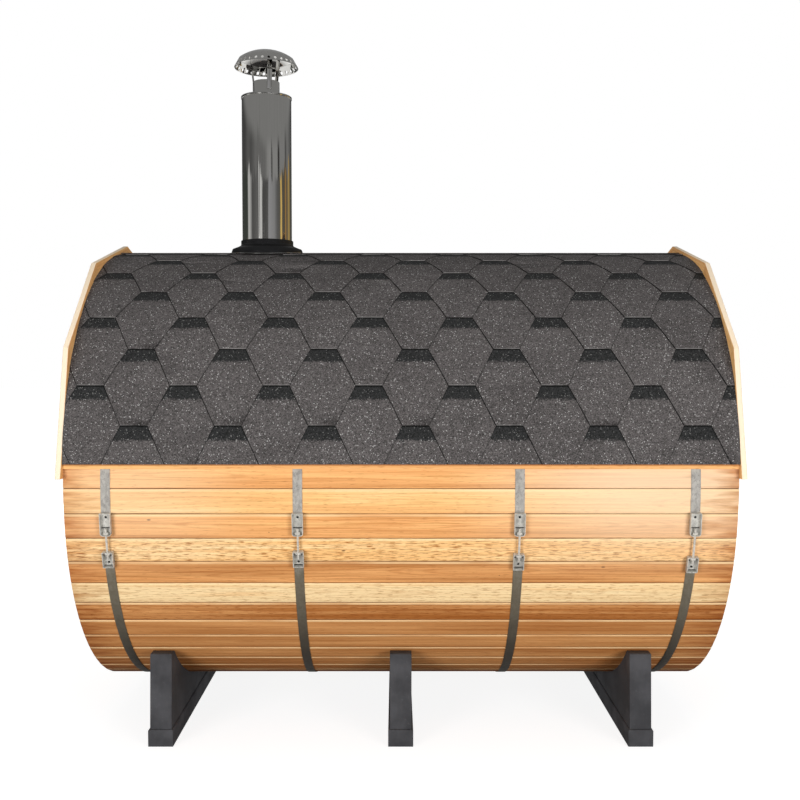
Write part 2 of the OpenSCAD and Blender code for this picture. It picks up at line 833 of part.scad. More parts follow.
// Cradles
module cradle_base(x) {
    half_y = saddle_foot + base_over;
    c = cradle_chamfer;
    color(GREY_PAINT)
        translate([x, half_y, 0])
            rotate([90, 0, 0])
                linear_extrude(2 * half_y)
                    polygon([
                        [-base_w / 2, 0], [base_w / 2, 0], [base_w / 2, base_h - c], [base_w / 2 - c, base_h],
                        [-base_w / 2 + c, base_h], [-base_w / 2, base_h - c]
                    ]);
}

module cradle_saddle(x) {
    c = cradle_chamfer;
    color(GREY_PAINT)
        on_axis()
            translate([0, 0, x])
                linear_extrude(saddle_t, center = true)
                    difference() {
                        polygon([
                            [-saddle_foot, saddle_bottom], [saddle_foot, saddle_bottom],
                            [saddle_horn, horn_z - c], [saddle_horn - c, horn_z],
                            [-saddle_horn + c, horn_z], [-saddle_horn, horn_z - c]
                        ]);
                        circle(r = seat_r, $fn = ROUND_FN);
                    }
}

staves(0, side_n);  // front_upper_staves
crown_staves();
staves(back_upper_first, side_n);  // back_upper_staves
staves(back_lower_first, side_n);  // back_lower_staves
staves(floor_first, crown_n);  // floor_staves
staves(front_lower_first, side_n);  // front_lower_staves
left_end_wall();
right_wall_part(-FAR, -doorway_w / 2, -FAR, FAR);  // right_end_wall_front
right_wall_part(doorway_w / 2, FAR, -FAR, FAR);  // right_end_wall_back
right_wall_part(-doorway_w / 2 + FRAME_GAP, doorway_w / 2 - FRAME_GAP, doorway_top, FAR);  // right_end_wall_over_door
right_wall_part(-doorway_w / 2 + FRAME_GAP, doorway_w / 2 - FRAME_GAP, -FAR, -doorway_drop);  // right_end_wall_under_door
door_frame();
door_leaf();
door_hinges();
door_handle();
band(0);  // band_1
band(1);  // band_2
band(2);  // band_3
band(3);  // band_4
upper_lugs();
lower_lugs();
tension_rods();
roof_boards(1);  // front_roof_boards
roof_boards(-1);  // back_roof_boards
shingles(1);  // front_shingles
shingles(-1);  // back_shingles
ridge_shingles();
trim_boards(-half_l - trim_t);  // left_trim_boards
trim_boards(half_l);  // right_trim_boards
flue_flange();
flue_boot();
flue_insulated_pipe();
flue_top_plate();
flue_smoke_pipe();
rain_cap_brackets();
rain_cap();
cradle_base(cradle_xs[0]);  // left_cradle_base
cradle_base(cradle_xs[1]);  // middle_cradle_base
cradle_base(cradle_xs[2]);  // right_cradle_base
cradle_saddle(cradle_xs[0]);  // left_cradle_saddle
cradle_saddle(cradle_xs[1]);  // middle_cradle_saddle
cradle_saddle(cradle_xs[2]);  // right_cradle_saddle
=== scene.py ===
"""Finishes and fittings of a barrel sauna, laid out as an add-on and run as a script.

Metres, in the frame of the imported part: X along the barrel, -Y the side with the band tensioners,
Z = 0 on the ground.
"""

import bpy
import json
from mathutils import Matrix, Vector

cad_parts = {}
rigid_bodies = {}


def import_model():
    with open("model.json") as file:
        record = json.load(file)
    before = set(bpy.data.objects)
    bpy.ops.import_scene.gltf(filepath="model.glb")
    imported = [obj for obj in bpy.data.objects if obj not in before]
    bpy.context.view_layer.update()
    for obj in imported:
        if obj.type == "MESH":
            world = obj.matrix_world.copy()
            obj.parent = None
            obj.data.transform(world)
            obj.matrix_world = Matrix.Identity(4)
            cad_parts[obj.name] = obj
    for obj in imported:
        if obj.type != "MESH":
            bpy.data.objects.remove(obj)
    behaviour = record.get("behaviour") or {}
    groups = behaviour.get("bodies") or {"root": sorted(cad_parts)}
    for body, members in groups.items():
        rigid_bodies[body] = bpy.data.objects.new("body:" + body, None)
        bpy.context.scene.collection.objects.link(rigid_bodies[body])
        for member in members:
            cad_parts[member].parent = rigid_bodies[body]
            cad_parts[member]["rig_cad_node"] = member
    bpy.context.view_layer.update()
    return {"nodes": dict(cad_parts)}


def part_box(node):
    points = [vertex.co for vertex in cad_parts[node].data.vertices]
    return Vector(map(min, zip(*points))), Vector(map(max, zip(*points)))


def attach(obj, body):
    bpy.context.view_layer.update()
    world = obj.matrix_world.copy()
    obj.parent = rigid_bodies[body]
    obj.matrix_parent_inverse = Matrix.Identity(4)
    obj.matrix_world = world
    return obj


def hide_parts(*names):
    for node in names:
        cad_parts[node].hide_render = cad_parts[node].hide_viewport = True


bl_info = {
    "name": "Barrel sauna finishes",
    "version": (1, 0, 0),
    "blender": (4, 5, 0),
    "location": "3D View > Sidebar > Sauna",
    "description": "Dresses the frame of a barrel sauna in timber, shingles, steel and paint",
    "category": "Object",
}

import json
import math

import bpy
from mathutils import Vector

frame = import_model()

# Places taken from the frame
WALL_LOW, WALL_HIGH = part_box("left_end_wall")
CROWN_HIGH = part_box("crown_staves")[1]
PIPE_LOW, PIPE_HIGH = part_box("flue_insulated_pipe")
AXIS_Z = (WALL_LOW.z + WALL_HIGH.z) / 2
BARREL_R = CROWN_HIGH.z - AXIS_Z
HALF_L = CROWN_HIGH.x
FLUE_X = (PIPE_LOW.x + PIPE_HIGH.x) / 2
FLUE_Y = (PIPE_LOW.y + PIPE_HIGH.y) / 2
PIPE_R = (PIPE_HIGH.y - PIPE_LOW.y) / 2

# Layout that the frame's nodes follow
STAVE_COUNT = 62
STAVE_ANGLE = 2 * math.pi / STAVE_COUNT
ROOF_BOARD_START_ANGLE = math.radians(4.45)
ROOF_BOARD_COUNT = 15
ROOF_BOARD_ANGLE = (math.pi / 2 - ROOF_BOARD_START_ANGLE) / ROOF_BOARD_COUNT
COURSE_R = 0.9101
COURSE_HEIGHT = 0.1486
COURSE_ANGLE = COURSE_HEIGHT / COURSE_R
EAVE_SHOW = 0.016
EAVE_COURSE_HEIGHT = 0.1386
FIRST_COURSE_ANGLE = ROOF_BOARD_START_ANGLE + (EAVE_SHOW + EAVE_COURSE_HEIGHT - COURSE_HEIGHT) / COURSE_R
TAB_PITCH = 0.334
TAB_LOW_WIDTH = 0.096
TAB_SHIFT = 0.052
TAB_R = 0.9160
TAB_SETTLED_R = 0.9135
TAB_START = 0.0003
TRIM_START_ANGLE = math.radians(2.2)
TRIM_BOARD_COUNT = 3
TRIM_ANGLE = (math.pi / 2 - TRIM_START_ANGLE) / TRIM_BOARD_COUNT
WALL_BOARD_WIDTH = 0.096

# Angles below the axis between which the lugs cover each band, from the left band to the right, where the
# bands are painted in shade
LUG_TOP_ANGLE = math.radians(5.6)
LUG_END_ANGLES = tuple(math.radians(angle) for angle in (18.3, 18.2, 18.9, 19.6))

MM = 0.001

# Seam of the pipe, which is turned from the front, and the hinges with their screws
SEAM_TURN = math.radians(12)
SEAM_GAP = 1 * MM
SEAM_SINK = 1 * MM
HINGE_HEIGHT = 90 * MM
HINGE_THICKNESS = 3 * MM
SCREW_R = 4 * MM
SCREW_RISE = 1 * MM
SCREW_SIDES = 20
SCREW_ROUNDING = 0.6 * MM
SCREW_SLOT = 1.2 * MM
SCREW_SLOT_REACH = 2.8 * MM
SCREW_SLOT_FLOOR = 0.3 * MM
SCREW_TURN = math.radians(25)
SCREW_INSET = 9.5 * MM
SCREW_SPACING = 30 * MM

# Limits for joining the loose triangles of a node, the corner at which shading breaks,
# and how far a cutter of grooves reaches past a wall
MERGE_DISTANCE = 0.00001
FLAT_ANGLE = math.radians(0.4)
SHARP_ANGLE = math.radians(30)
GROOVE_OVERRUN = 0.05

STAVE_NODES = (
    "front_upper_staves", "crown_staves", "back_upper_staves",
    "back_lower_staves", "floor_staves", "front_lower_staves",
)
WALL_NODES = (
    "left_end_wall", "right_end_wall_front", "right_end_wall_back",
    "right_end_wall_over_door", "right_end_wall_under_door",
)
BAND_NODES = ("band_1", "band_2", "band_3", "band_4")
FLUE_NODES = (
    "flue_flange", "flue_insulated_pipe", "flue_top_plate",
    "flue_smoke_pipe", "rain_cap_brackets", "rain_cap",
)
CRADLE_NODES = tuple(
    f"{place}_cradle_{part}" for place in ("left", "middle", "right") for part in ("base", "saddle")
)


def grey(tone):
    """Grey as a linear colour with alpha."""
    return (tone, tone, tone, 1.0)


# Stripes round the studio as shiny surfaces reflect them, from behind the object by its left end,
# the camera and its right end to behind it again: plain greys high up, livelier ones low down
HIGH_STRIPES = tuple((start, grey(tone)) for start, tone in (
    (0.0, 0.06), (0.17, 0.06), (0.25, 0.14), (0.30, 0.10), (0.36, 0.20), (0.48, 0.19), (0.52, 0.34),
    (0.563, 0.37), (0.568, 0.10), (0.580, 0.10), (0.585, 0.34), (0.655, 0.34), (0.661, 0.04),
    (0.684, 0.04), (0.69, 0.29), (0.77, 0.29), (0.79, 0.08), (0.83, 0.25), (0.95, 0.06),
))
LOW_STRIPES = (
    (0.0, grey(0.05)), (0.24, (0.05, 0.06, 0.05, 1.0)), (0.26, grey(0.75)),
    (0.30, grey(0.42)), (0.315, grey(0.10)), (0.39, grey(0.16)),
    (0.41, grey(0.85)), (0.445, grey(0.75)), (0.45, grey(0.08)),
    (0.52, grey(0.11)), (0.53, (0.40, 0.40, 0.42, 1.0)), (0.60, (0.32, 0.32, 0.33, 1.0)),
    (0.65, grey(0.14)), (0.69, (0.13, 0.12, 0.10, 1.0)), (0.70, (0.95, 0.66, 0.20, 1.0)),
    (0.715, (0.85, 0.55, 0.15, 1.0)), (0.725, (0.12, 0.11, 0.09, 1.0)), (0.77, (0.12, 0.10, 0.07, 1.0)),
    (0.785, (0.55, 0.30, 0.07, 1.0)), (0.81, (0.10, 0.09, 0.08, 1.0)), (0.86, (0.60, 0.40, 0.12, 1.0)),
    (0.90, (0.08, 0.08, 0.07, 1.0)),
)

# Heights in metres between which the low stripes end, how much higher the warm ones on the right reach,
# and heights between which the studio evens out upwards
LOW_STRIPE_END = (3.95, 4.2)
WARM_STRIPES_START = 0.69
WARM_STRIPES_RISE = 0.35
EVEN_ABOVE = (5.4, 6.6)
EVEN_TONE = grey(0.28)

# Studio, in metres and watts. The floor shines less near the object, and least where it is reflected,
# and a row of side lamps has a name, a place along Y and a power
SURROUND_R = 9.0
SURROUND_SIDES = 64
SURROUND_HEIGHT = 13.0
SURROUND_MIDDLE_Z = 5.5
FLOOR_SIZE = 80.0
FLOOR_Z = -0.5 * MM
FLOOR_TONE = grey(0.35)
FLOOR_FADE = (1.2, 4.5)
FLOOR_NEAR_GLOW = 0.86
FLOOR_NEAR_REFLECTED = 0.08
WORLD_LIGHT = 0.24
SIDE_LAMP_X = 3.4
SIDE_LAMP_Z = 1.3
SIDE_LAMP_TARGET = (0.0, 0.0, 1.0)
SIDE_LAMP_SIZE = (2.4, 2.4)
SIDE_LAMP_ROWS = (("front_light", -5.6, 200.0), ("back_light", 5.6, 80.0))
TOP_LAMP_PLACE = (0.0, -1.0, 6.5)
TOP_LAMP_TARGET = (0.0, 0.0, 1.5)
TOP_LAMP_SIZE = (4.0, 3.0)
TOP_LAMP_POWER = 45.0
CAMERA_PLACE = (-0.018, -4.420, 1.495)
CAMERA_TILT = math.radians(87.443)
CAMERA_LENS = 44.86
CAMERA_SENSOR = 36.0
CAMERA_SHIFT = 0.005

# Angles above the axis, on either side, between which painted shade darkens the staves towards the ground
GROUND_SHADE_ANGLES = (math.radians(-54), math.radians(-75))

# Angles above the axis, on either side, and places along the barrel between which painted light makes the
# staves paler
PAINTED_LIGHT_ANGLES = (math.radians(-24), math.radians(0))
PAINTED_LIGHT_RIGHT = (0.1, 0.85)
PAINTED_LIGHT_LEFT = (-0.45, -0.95)

# Angles above the axis, on either side, between which the bands grow grimy, and then dark with soil
GRIME_ANGLES = (math.radians(-2), math.radians(-19))
SOIL_ANGLES = (math.radians(-15), math.radians(-50))

# Tone from cream to red brown, flecks and streaks of the staves that show on the front,
# from the thirteenth below the axis up to the first above it. The darkest tones, on the lowest staves, are
# partly painted shade
FRONT_STAVES = (
    (1.00, 0.2, 0.5), (1.00, 0.1, 0.4), (0.97, 0.2, 0.6), (0.89, 0.3, 0.5), (0.78, 0.2, 0.5),
    (0.78, 0.1, 0.4), (0.78, 0.1, 0.5), (0.87, 0.6, 0.9), (0.00, 0.60, 0.45), (0.71, 0.2, 0.9),
    (0.20, 1.0, 0.4), (0.56, 0.1, 0.8), (0.30, 0.25, 0.4), (0.50, 0.15, 0.7),
)

# Distances from the middle of a stave, and from the barrel's axis, between which the painted highlight on
# its upper bevel starts, and distances from the middle of a stave and from the edge of a wall board where a
# joint starts
HIGHLIGHT_START = (34.5 * MM, 36.8 * MM)
HIGHLIGHT_R = (BARREL_R - 12 * MM, BARREL_R - 8 * MM)
JOINT_START = (43.4 * MM, 45.2 * MM)
WALL_JOINT = (2.8 * MM, 0.8 * MM)

# Length of board for each place of a knot, and length of a ridge shingle
KNOT_SPACING = 0.62
RIDGE_LAP = 0.16

# Tints that darken timber, and colours of small marks
GRAIN_TINT = (0.68, 0.51, 0.37, 1.0)
FLECK_TINT = (0.50, 0.33, 0.20, 1.0)
RAIN_TINT = (0.56, 0.37, 0.24, 1.0)
# Painted shade on the staves near the ground
GROUND_SHADE_TINT = (0.24, 0.165, 0.095, 1.0)
JOINT_TINT = (0.24, 0.13, 0.08, 1.0)
# Painted shadow under the lower edge of the shingles
EAVE_SHADOW_TINT = (0.50, 0.37, 0.27, 1.0)
KNOT = (0.10, 0.032, 0.012, 1.0)
WHITE_GRANULE = (0.50, 0.49, 0.48, 1.0)
RIDGE_WHITE_GRANULE = (0.42, 0.41, 0.40, 1.0)
# Painted highlight along the lower ends of the shingle tabs
TAB_EDGE_HIGHLIGHT = (0.32, 0.31, 0.30, 1.0)
DUST = (0.2, 0.2, 0.19, 1.0)

# Specular levels of the dull finishes, metallic shares of the steels, and depths of relief
TIMBER_GLOSS = 0.12
SHINGLE_GLOSS = 0.25
RUBBER_GLOSS = 0.3
PAINT_GLOSS = 0.1
STRAP_SHINE = 0.12
LUG_SHINE = 0.35
ROD_SHINE = 0.2
TIMBER_RELIEF = 0.5 * MM
GRANULE_RELIEF = 0.7 * MM


def colour(name, description, default):
    return bpy.props.FloatVectorProperty(
        name=name, description=description, default=default, subtype="COLOR_GAMMA", size=3, min=0, max=1,
    )


def length(name, description, default):
    return bpy.props.FloatProperty(
        name=name, description=description, default=default, unit="LENGTH", precision=4,
    )


class SaunaSizes(bpy.types.PropertyGroup):
    """Small sizes of the dressing, none of which changes the frame."""

    timber_edge: length("Timber edge", "Rounding of the edges of the staves", 1.0 * MM)
    trim_edge: length("Trim edge", "Rounding of the edges of the trim boards", 2.5 * MM)
    handle_edge: length("Handle edge", "Rounding of the edges of the door's handle", 5.0 * MM)
    steel_edge: length("Steel edge", "Rounding of the edges of pressed steel", 0.5 * MM)
    band_edge: length("Band edge", "Rounding of the edges of the steel bands", 0.3 * MM)
    cradle_edge: length("Cradle edge", "Rounding of the worn edges of the cradles", 2.0 * MM)
    board_edge: length("Roof board edge", "Rounding of the edges of the roof boards", 0.4 * MM)
    rubber_edge: length("Rubber edge", "Rounding of the moulded edges of the boot", 2.0 * MM)
    groove: length("Board groove", "Depth of the groove between two wall boards", 3.0 * MM)
    granule: length("Granule", "Size of a clump of mineral granules on the shingles", 2.8 * MM)
    shade_band: length("Shade band", "Height of the dark band at the top of a gap between tabs", 54 * MM)
    # The rounded lug edges take the paler rod steel, partly worn bright zinc and partly a painted highlight
    lug_edge: length("Lug edge", "Rounding of the bright worn edges of the lugs", 1.0 * MM)
    seam_width: length("Seam width", "Width of the folded seam of the insulated pipe", 10 * MM)
    seam_rise: length("Seam rise", "Height of the folded seam over the insulated pipe", 0.9 * MM)
    thread: length("Thread pitch", "Pitch of the thread on the tension rods", 1.25 * MM)


class SaunaColours(bpy.types.PropertyGroup):
    """Colours of the finishes, as they look on a screen."""

    cream: colour("Cream timber", "Palest staves", (0.998, 0.885, 0.685))
    golden: colour("Golden timber", "Light golden staves", (0.985, 0.79, 0.53))
    tan: colour("Tan timber", "Staves of a middling tone", (0.955, 0.71, 0.46))
    brown: colour("Brown timber", "Darker staves", (0.81, 0.57, 0.345))
    red_brown: colour("Red brown timber", "Darkest staves", (0.70, 0.44, 0.22))
    # Pale timber that paints light onto the upper staves towards their ends
    painted_light: colour("Bleached timber", "Sun bleach on the upper staves", (0.985, 0.90, 0.78))
    pale_edge: colour("Pale cut edge", "Planed edges of the trim boards", (0.985, 0.925, 0.825))
    shingle: colour("Shingle", "Mineral granules of the shingles", (0.332, 0.318, 0.315))
    shingle_dark: colour("Shade band", "Dark granules between the tabs", (0.168, 0.170, 0.170))
    zinc: colour("Zinc", "Galvanised bands", (0.655, 0.64, 0.615))
    lug_zinc: colour("Clean zinc", "Galvanised lugs and hinges", (0.80, 0.79, 0.76))
    grime: colour("Grime", "Olive grime low on the bands", (0.37, 0.33, 0.24))
    soil: colour("Soil", "Dark soil at the bottom of the bands", (0.13, 0.11, 0.08))
    bright_zinc: colour("Bright zinc", "Tension rods", (0.90, 0.88, 0.84))
    stainless: colour("Stainless", "Polished sheet of the flue", (0.78, 0.775, 0.76))
    rubber: colour("Rubber", "Boot round the flue", (0.08, 0.08, 0.085))
    paint: colour("Cradle paint", "Charcoal paint of the cradles", (0.285, 0.285, 0.295))
    worn_paint: colour("Worn paint", "Rubbed edges of the cradles", (0.40, 0.40, 0.41))


def linear(shown):
    """Linear colour with alpha from a colour as it looks on a screen."""
    parts = [c / 12.92 if c <= 0.04045 else ((c + 0.055) / 1.055) ** 2.4 for c in shown]
    return (*parts, 1.0)


class Finish:
    """Node tree of one procedural material, read from the piece's own coordinates in metres."""

    def __init__(self, name):
        self.material = bpy.data.materials.new(name)
        self.material.use_nodes = True
        self.nodes = self.material.node_tree.nodes
        self.links = self.material.node_tree.links
        self.shader = self.nodes["Principled BSDF"]
        texture_place = self.add("ShaderNodeTexCoord")
        self.place = texture_place.outputs["Object"]
        self.normal = texture_place.outputs["Normal"]

    def add(self, kind, **settings):
        node = self.nodes.new(kind)
        for key, value in settings.items():
            setattr(node, key, value)
        return node

    def feed(self, socket, value):
        if isinstance(value, bpy.types.NodeSocket):
            self.links.new(value, socket)
        else:
            socket.default_value = value

    def make(self, kind, fed, **settings):
        """Outputs of a new node whose inputs are fed by name or number."""
        node = self.add(kind, **settings)
        for key, value in fed.items():
            self.feed(node.inputs[key], value)
        return node.outputs

    def math(self, operation, *values):
        return self.make("ShaderNodeMath", dict(enumerate(values)), operation=operation)[0]

    def times(self, first, second):
        return self.math("MULTIPLY", first, second)

    def plus(self, first, second):
        return self.math("ADD", first, second)

    def minus(self, first, second):
        return self.math("SUBTRACT", first, second)

    def over(self, first, second):
        return self.math("DIVIDE", first, second)

    def vector(self, operation, *values):
        return self.make("ShaderNodeVectorMath", dict(enumerate(values)), operation=operation)

    def split(self, vector):
        return self.make("ShaderNodeSeparateXYZ", {0: vector})

    def join(self, x, y, z):
        return self.make("ShaderNodeCombineXYZ", {0: x, 1: y, 2: z})[0]

    def stretch(self, vector, scale):
        return self.vector("MULTIPLY", vector, scale)[0]

    def noise(self, vector, scale=1.0, detail=2.0, roughness=0.5):
        fed = {"Vector": vector, "Scale": scale, "Detail": detail, "Roughness": roughness}
        return self.make("ShaderNodeTexNoise", fed)["Fac"]

    def sway(self, vector, scale):
        """Noise around 0, stretched along the axes."""
        return self.minus(self.noise(self.stretch(vector, scale)), 0.5)

    def cells(self, vector, scale):
        return self.make("ShaderNodeTexVoronoi", {"Vector": vector, "Scale": scale})

    def parts(self, colour_socket):
        return self.make("ShaderNodeSeparateColor", {0: colour_socket})

    def chance(self, value):
        """Three random numbers for each whole number."""
        drawn = self.make("ShaderNodeTexWhiteNoise", {"W": value}, noise_dimensions="1D")
        return self.parts(drawn["Color"])

    def step(self, value, low, high):
        """Rises smoothly from 0 at low to 1 at high."""
        fed = {"Value": value, "From Min": low, "From Max": high}
        return self.make("ShaderNodeMapRange", fed, interpolation_type="SMOOTHSTEP")["Result"]

    def range(self, value, low, high):
        """Takes a value between 0 and 1 to a value between low and high."""
        return self.make("ShaderNodeMapRange", {"Value": value, "To Min": low, "To Max": high})["Result"]

    def ramp(self, value, stops, interpolation="LINEAR"):
        node = self.add("ShaderNodeValToRGB")
        node.color_ramp.interpolation = interpolation
        elements = node.color_ramp.elements
        while len(elements) < len(stops):
            elements.new(1.0)
        for element, (position, stop_colour) in zip(elements, stops):
            element.position = position
            element.color = stop_colour
        self.feed(node.inputs[0], value)
        return node.outputs["Color"]

    def mix(self, factor, first, second, blend="MIX"):
        fed = {0: factor, 6: first, 7: second}
        return self.make("ShaderNodeMix", fed, data_type="RGBA", blend_type=blend)[2]

    def shade(self, base, value):
        """Multiplies each channel of a colour by a value."""
        shares = self.make("ShaderNodeCombineColor", {0: value, 1: value, 2: value})[0]
        return self.mix(1.0, base, shares, "MULTIPLY")

    def tint(self, factor, base, tint):
        """Stains a colour by a tint, as far as the factor says."""
        return self.mix(factor, base, self.mix(1.0, base, tint, "MULTIPLY"))

    def colour(self, value):
        self.feed(self.shader.inputs["Base Color"], value)

    def roughness(self, value, gloss=0.5):
        self.feed(self.shader.inputs["Roughness"], value)
        self.shader.inputs["Specular IOR Level"].default_value = gloss

    def glow(self, shown, strength):
        self.feed(self.shader.inputs["Emission Color"], shown)
        self.feed(self.shader.inputs["Emission Strength"], strength)

    def metal(self, share):
        self.shader.inputs["Metallic"].default_value = share

    def bump(self, height, distance, strength, normal=None):
        fed = {"Height": height, "Distance": distance, "Strength": strength}
        if normal:
            fed["Normal"] = normal
        self.feed(self.shader.inputs["Normal"], self.make("ShaderNodeBump", fed)[0])

    def round_normal(self):
        """Normal of the barrel's round for faces that follow it, and its own normal for any other face."""
        _, y, z = self.split(self.place)
        out = self.vector("NORMALIZE", self.join(0.0, y, self.minus(z, AXIS_Z)))[0]
        facing = self.vector("DOT_PRODUCT", out, self.normal)["Value"]
        fed = {0: self.step(facing, 0.97, 0.99), 4: self.normal, 5: out}
        return self.make("ShaderNodeMix", fed, data_type="VECTOR")[1]

    def polar(self, mirrored=False):
        """Place along the barrel, angle above the axis and radius. The angle is 0 on the tensioner side."""
        x, y, z = self.split(self.place)
        up = self.minus(z, AXIS_Z)
        out = self.math("ABSOLUTE", y) if mirrored else self.times(y, -1.0)
        angle = self.math("ARCTAN2", up, out)
        squares = self.plus(self.times(out, out), self.times(up, up))
        return x, angle, self.math("SQRT", squares)

    def endways(self):
        """How far a face looks along the barrel, from 0 to 1."""
        return self.math("ABSOLUTE", self.split(self.normal)[0])

    def boards(self, turn, width):
        """Number of the board at a place counted in boards, and the place across that board."""
        index = self.math("FLOOR", turn)
        middle = self.minus(self.minus(turn, index), 0.5)
        return index, self.times(middle, width)


def timber(f, colours, along, across, depth, index, tone, fleck, streak):
    """Colour and relief of a softwood board whose grain runs along it."""
    shift, lift, _ = f.chance(f.plus(index, 71.5))
    start = f.plus(along, f.times(shift, 40.0))
    level = f.plus(across, f.times(lift, 9.0))
    place = f.join(start, level, depth)

    # Broad and narrow bands of lighter and darker wood
    broad = f.times(f.sway(place, (0.8, 14.0, 14.0)), 0.65)
    narrow = f.times(f.sway(place, (0.9, 60.0, 30.0)), f.range(streak, 0.2, 0.8))
    base = f.ramp(f.plus(tone, f.plus(broad, narrow)), (
        (0.0, linear(colours.cream)), (0.25, linear(colours.golden)), (0.5, linear(colours.tan)),
        (0.78, linear(colours.brown)), (1.0, linear(colours.red_brown)),
    ))

    # Growth rings, cut along the board into long arches
    drift = f.noise(f.stretch(place, (0.75, 5.0, 5.0)))
    arch = f.times(f.times(across, across), 200.0)
    ring = f.step(f.math("SINE", f.times(f.plus(drift, arch), 95.0)), 0.0, 1.0)
    lines = f.step(f.noise(f.stretch(place, (1.6, 150.0, 60.0)), detail=3.0, roughness=0.6), 0.42, 0.64)
    grain = f.plus(f.times(ring, 0.4), f.times(lines, 0.6))
    base = f.tint(f.times(grain, f.range(streak, 0.3, 0.9)), base, GRAIN_TINT)

    # Short dark flecks
    dashes = f.noise(f.stretch(place, (26.0, 330.0, 60.0)))
    dashes = f.step(f.plus(dashes, f.times(fleck, 0.08)), 0.61, 0.69)
    dashes = f.times(dashes, f.range(fleck, 0.3, 1.0))
    base = f.tint(dashes, base, FLECK_TINT)

    # A few small knots
    cell = f.math("FLOOR", f.over(start, KNOT_SPACING))
    knot_a, knot_b, knot_c = f.chance(f.plus(f.times(cell, 1.37), f.times(index, 9.1)))
    centre = f.times(f.plus(cell, f.range(knot_a, 0.2, 0.8)), KNOT_SPACING)
    run = f.times(f.minus(start, centre), 0.45)
    rise = f.minus(across, f.range(knot_b, -0.03, 0.03))
    reach = f.math("SQRT", f.plus(f.times(run, run), f.times(rise, rise)))
    size = f.times(f.step(knot_c, 0.8, 1.0), 0.0035)
    knot = f.minus(1.0, f.step(f.over(reach, f.plus(size, 0.0001)), 0.35, 1.25))
    base = f.mix(f.times(knot, 0.85), base, KNOT)

    fibre = f.noise(f.stretch(place, (14.0, 800.0, 300.0)), detail=2.0)
    base = f.shade(base, f.range(fibre, 0.9, 1.1))
    relief = f.plus(f.times(lines, 0.6), f.times(fibre, 0.5))
    return base, relief


def finish_timber(f, base, relief, roughness):
    f.colour(base)
    f.roughness(roughness, TIMBER_GLOSS)
    f.bump(relief, TIMBER_RELIEF, 0.6)
    return f.material


def end_grain(f, base):
    """Darkens sawn ends, which face along the barrel."""
    facing = f.step(f.endways(), 0.7, 0.95)
    ends = f.noise(f.stretch(f.place, (40.0, 160.0, 160.0)), detail=3.0)
    return f.mix(facing, base, f.shade(base, f.range(ends, 0.62, 0.98)))


def stave_wood(colours):
    f = Finish("stave_wood")
    along, angle, radius = f.polar()
    height = f.polar(mirrored=True)[1]
    index, across = f.boards(f.over(angle, STAVE_ANGLE), STAVE_ANGLE * BARREL_R)

    count = len(FRONT_STAVES)
    place = f.over(f.plus(index, count - 0.5), count)
    stops = [(i / count, (*values, 1.0)) for i, values in enumerate(FRONT_STAVES)]
    front_tone, front_fleck, front_streak = f.parts(f.ramp(place, stops, "CONSTANT"))
    tone, fleck, streak = f.chance(index)
    on_front = f.times(f.math("GREATER_THAN", place, 0.0), f.math("LESS_THAN", place, 1.0))
    tone = f.range(on_front, f.range(tone, 0.1, 0.85), front_tone)
    fleck = f.range(on_front, f.times(fleck, fleck), front_fleck)
    streak = f.range(on_front, streak, front_streak)

    base, relief = timber(f, colours, along, across, radius, index, tone, fleck, streak)

    # Painted light towards the ends of the upper staves, stronger on the right
    right = f.times(f.step(along, *PAINTED_LIGHT_RIGHT), 0.7)
    left = f.times(f.step(along, *PAINTED_LIGHT_LEFT), 0.3)
    side_light = f.times(f.plus(right, left), f.step(height, *PAINTED_LIGHT_ANGLES))
    base = f.mix(side_light, base, f.mix(0.2, linear(colours.painted_light), base))

    # Rain stains that creep in from the ends
    creep = f.noise(f.join(f.times(along, 7.0), f.times(angle, 50.0), 0.0), detail=4.0)
    near_end = f.step(f.plus(f.math("ABSOLUTE", along), f.times(creep, 0.5)), 1.28, 1.56)
    base = f.tint(f.times(near_end, 0.9), base, RAIN_TINT)

    # Painted shade on the staves close to the ground, where little light reaches
    ground_shade = f.step(f.plus(height, f.times(creep, 0.1)), *GROUND_SHADE_ANGLES)
    base = f.tint(ground_shade, base, GROUND_SHADE_TINT)

    # Painted highlight along the upper bevel, dirt in the joints
    wander = f.noise(f.join(f.times(along, 3.0), f.times(index, 7.3), 0.0), detail=3.0)
    upwards = f.times(across, f.times(f.math("SIGN", f.split(f.place)[1]), -1.0))
    bevel_highlight = f.times(f.step(upwards, *HIGHLIGHT_START), f.range(f.step(wander, 0.3, 0.65), 0.3, 0.95))
    bevel_highlight = f.times(bevel_highlight, f.step(radius, *HIGHLIGHT_R))
    bevel_highlight = f.times(bevel_highlight, f.step(f.endways(), 0.6, 0.3))
    base = f.mix(bevel_highlight, base, f.mix(0.35, linear(colours.cream), base))
    joint = f.plus(f.math("ABSOLUTE", across), f.times(f.minus(wander, 0.5), 3.0 * MM))
    joint = f.step(joint, *JOINT_START)
    base = f.tint(joint, base, JOINT_TINT)
    return finish_timber(f, end_grain(f, base), relief, f.range(relief, 0.52, 0.68))


def granules(f, sizes):
    """Shade of mineral granules, their clumps, and the few white ones."""
    pick, spark, _ = f.parts(f.cells(f.place, 1.0 / sizes.granule)["Color"])
    clump = f.noise(f.place, 170.0)
    grit = f.times(f.range(pick, 0.4, 1.6), f.range(clump, 0.55, 1.45))
    return grit, clump, f.step(spark, 0.970, 0.978)


def finish_granules(f, base, grit):
    f.colour(base)
    f.roughness(0.9, SHINGLE_GLOSS)
    f.bump(grit, GRANULE_RELIEF, 0.5, f.round_normal())
    return f.material


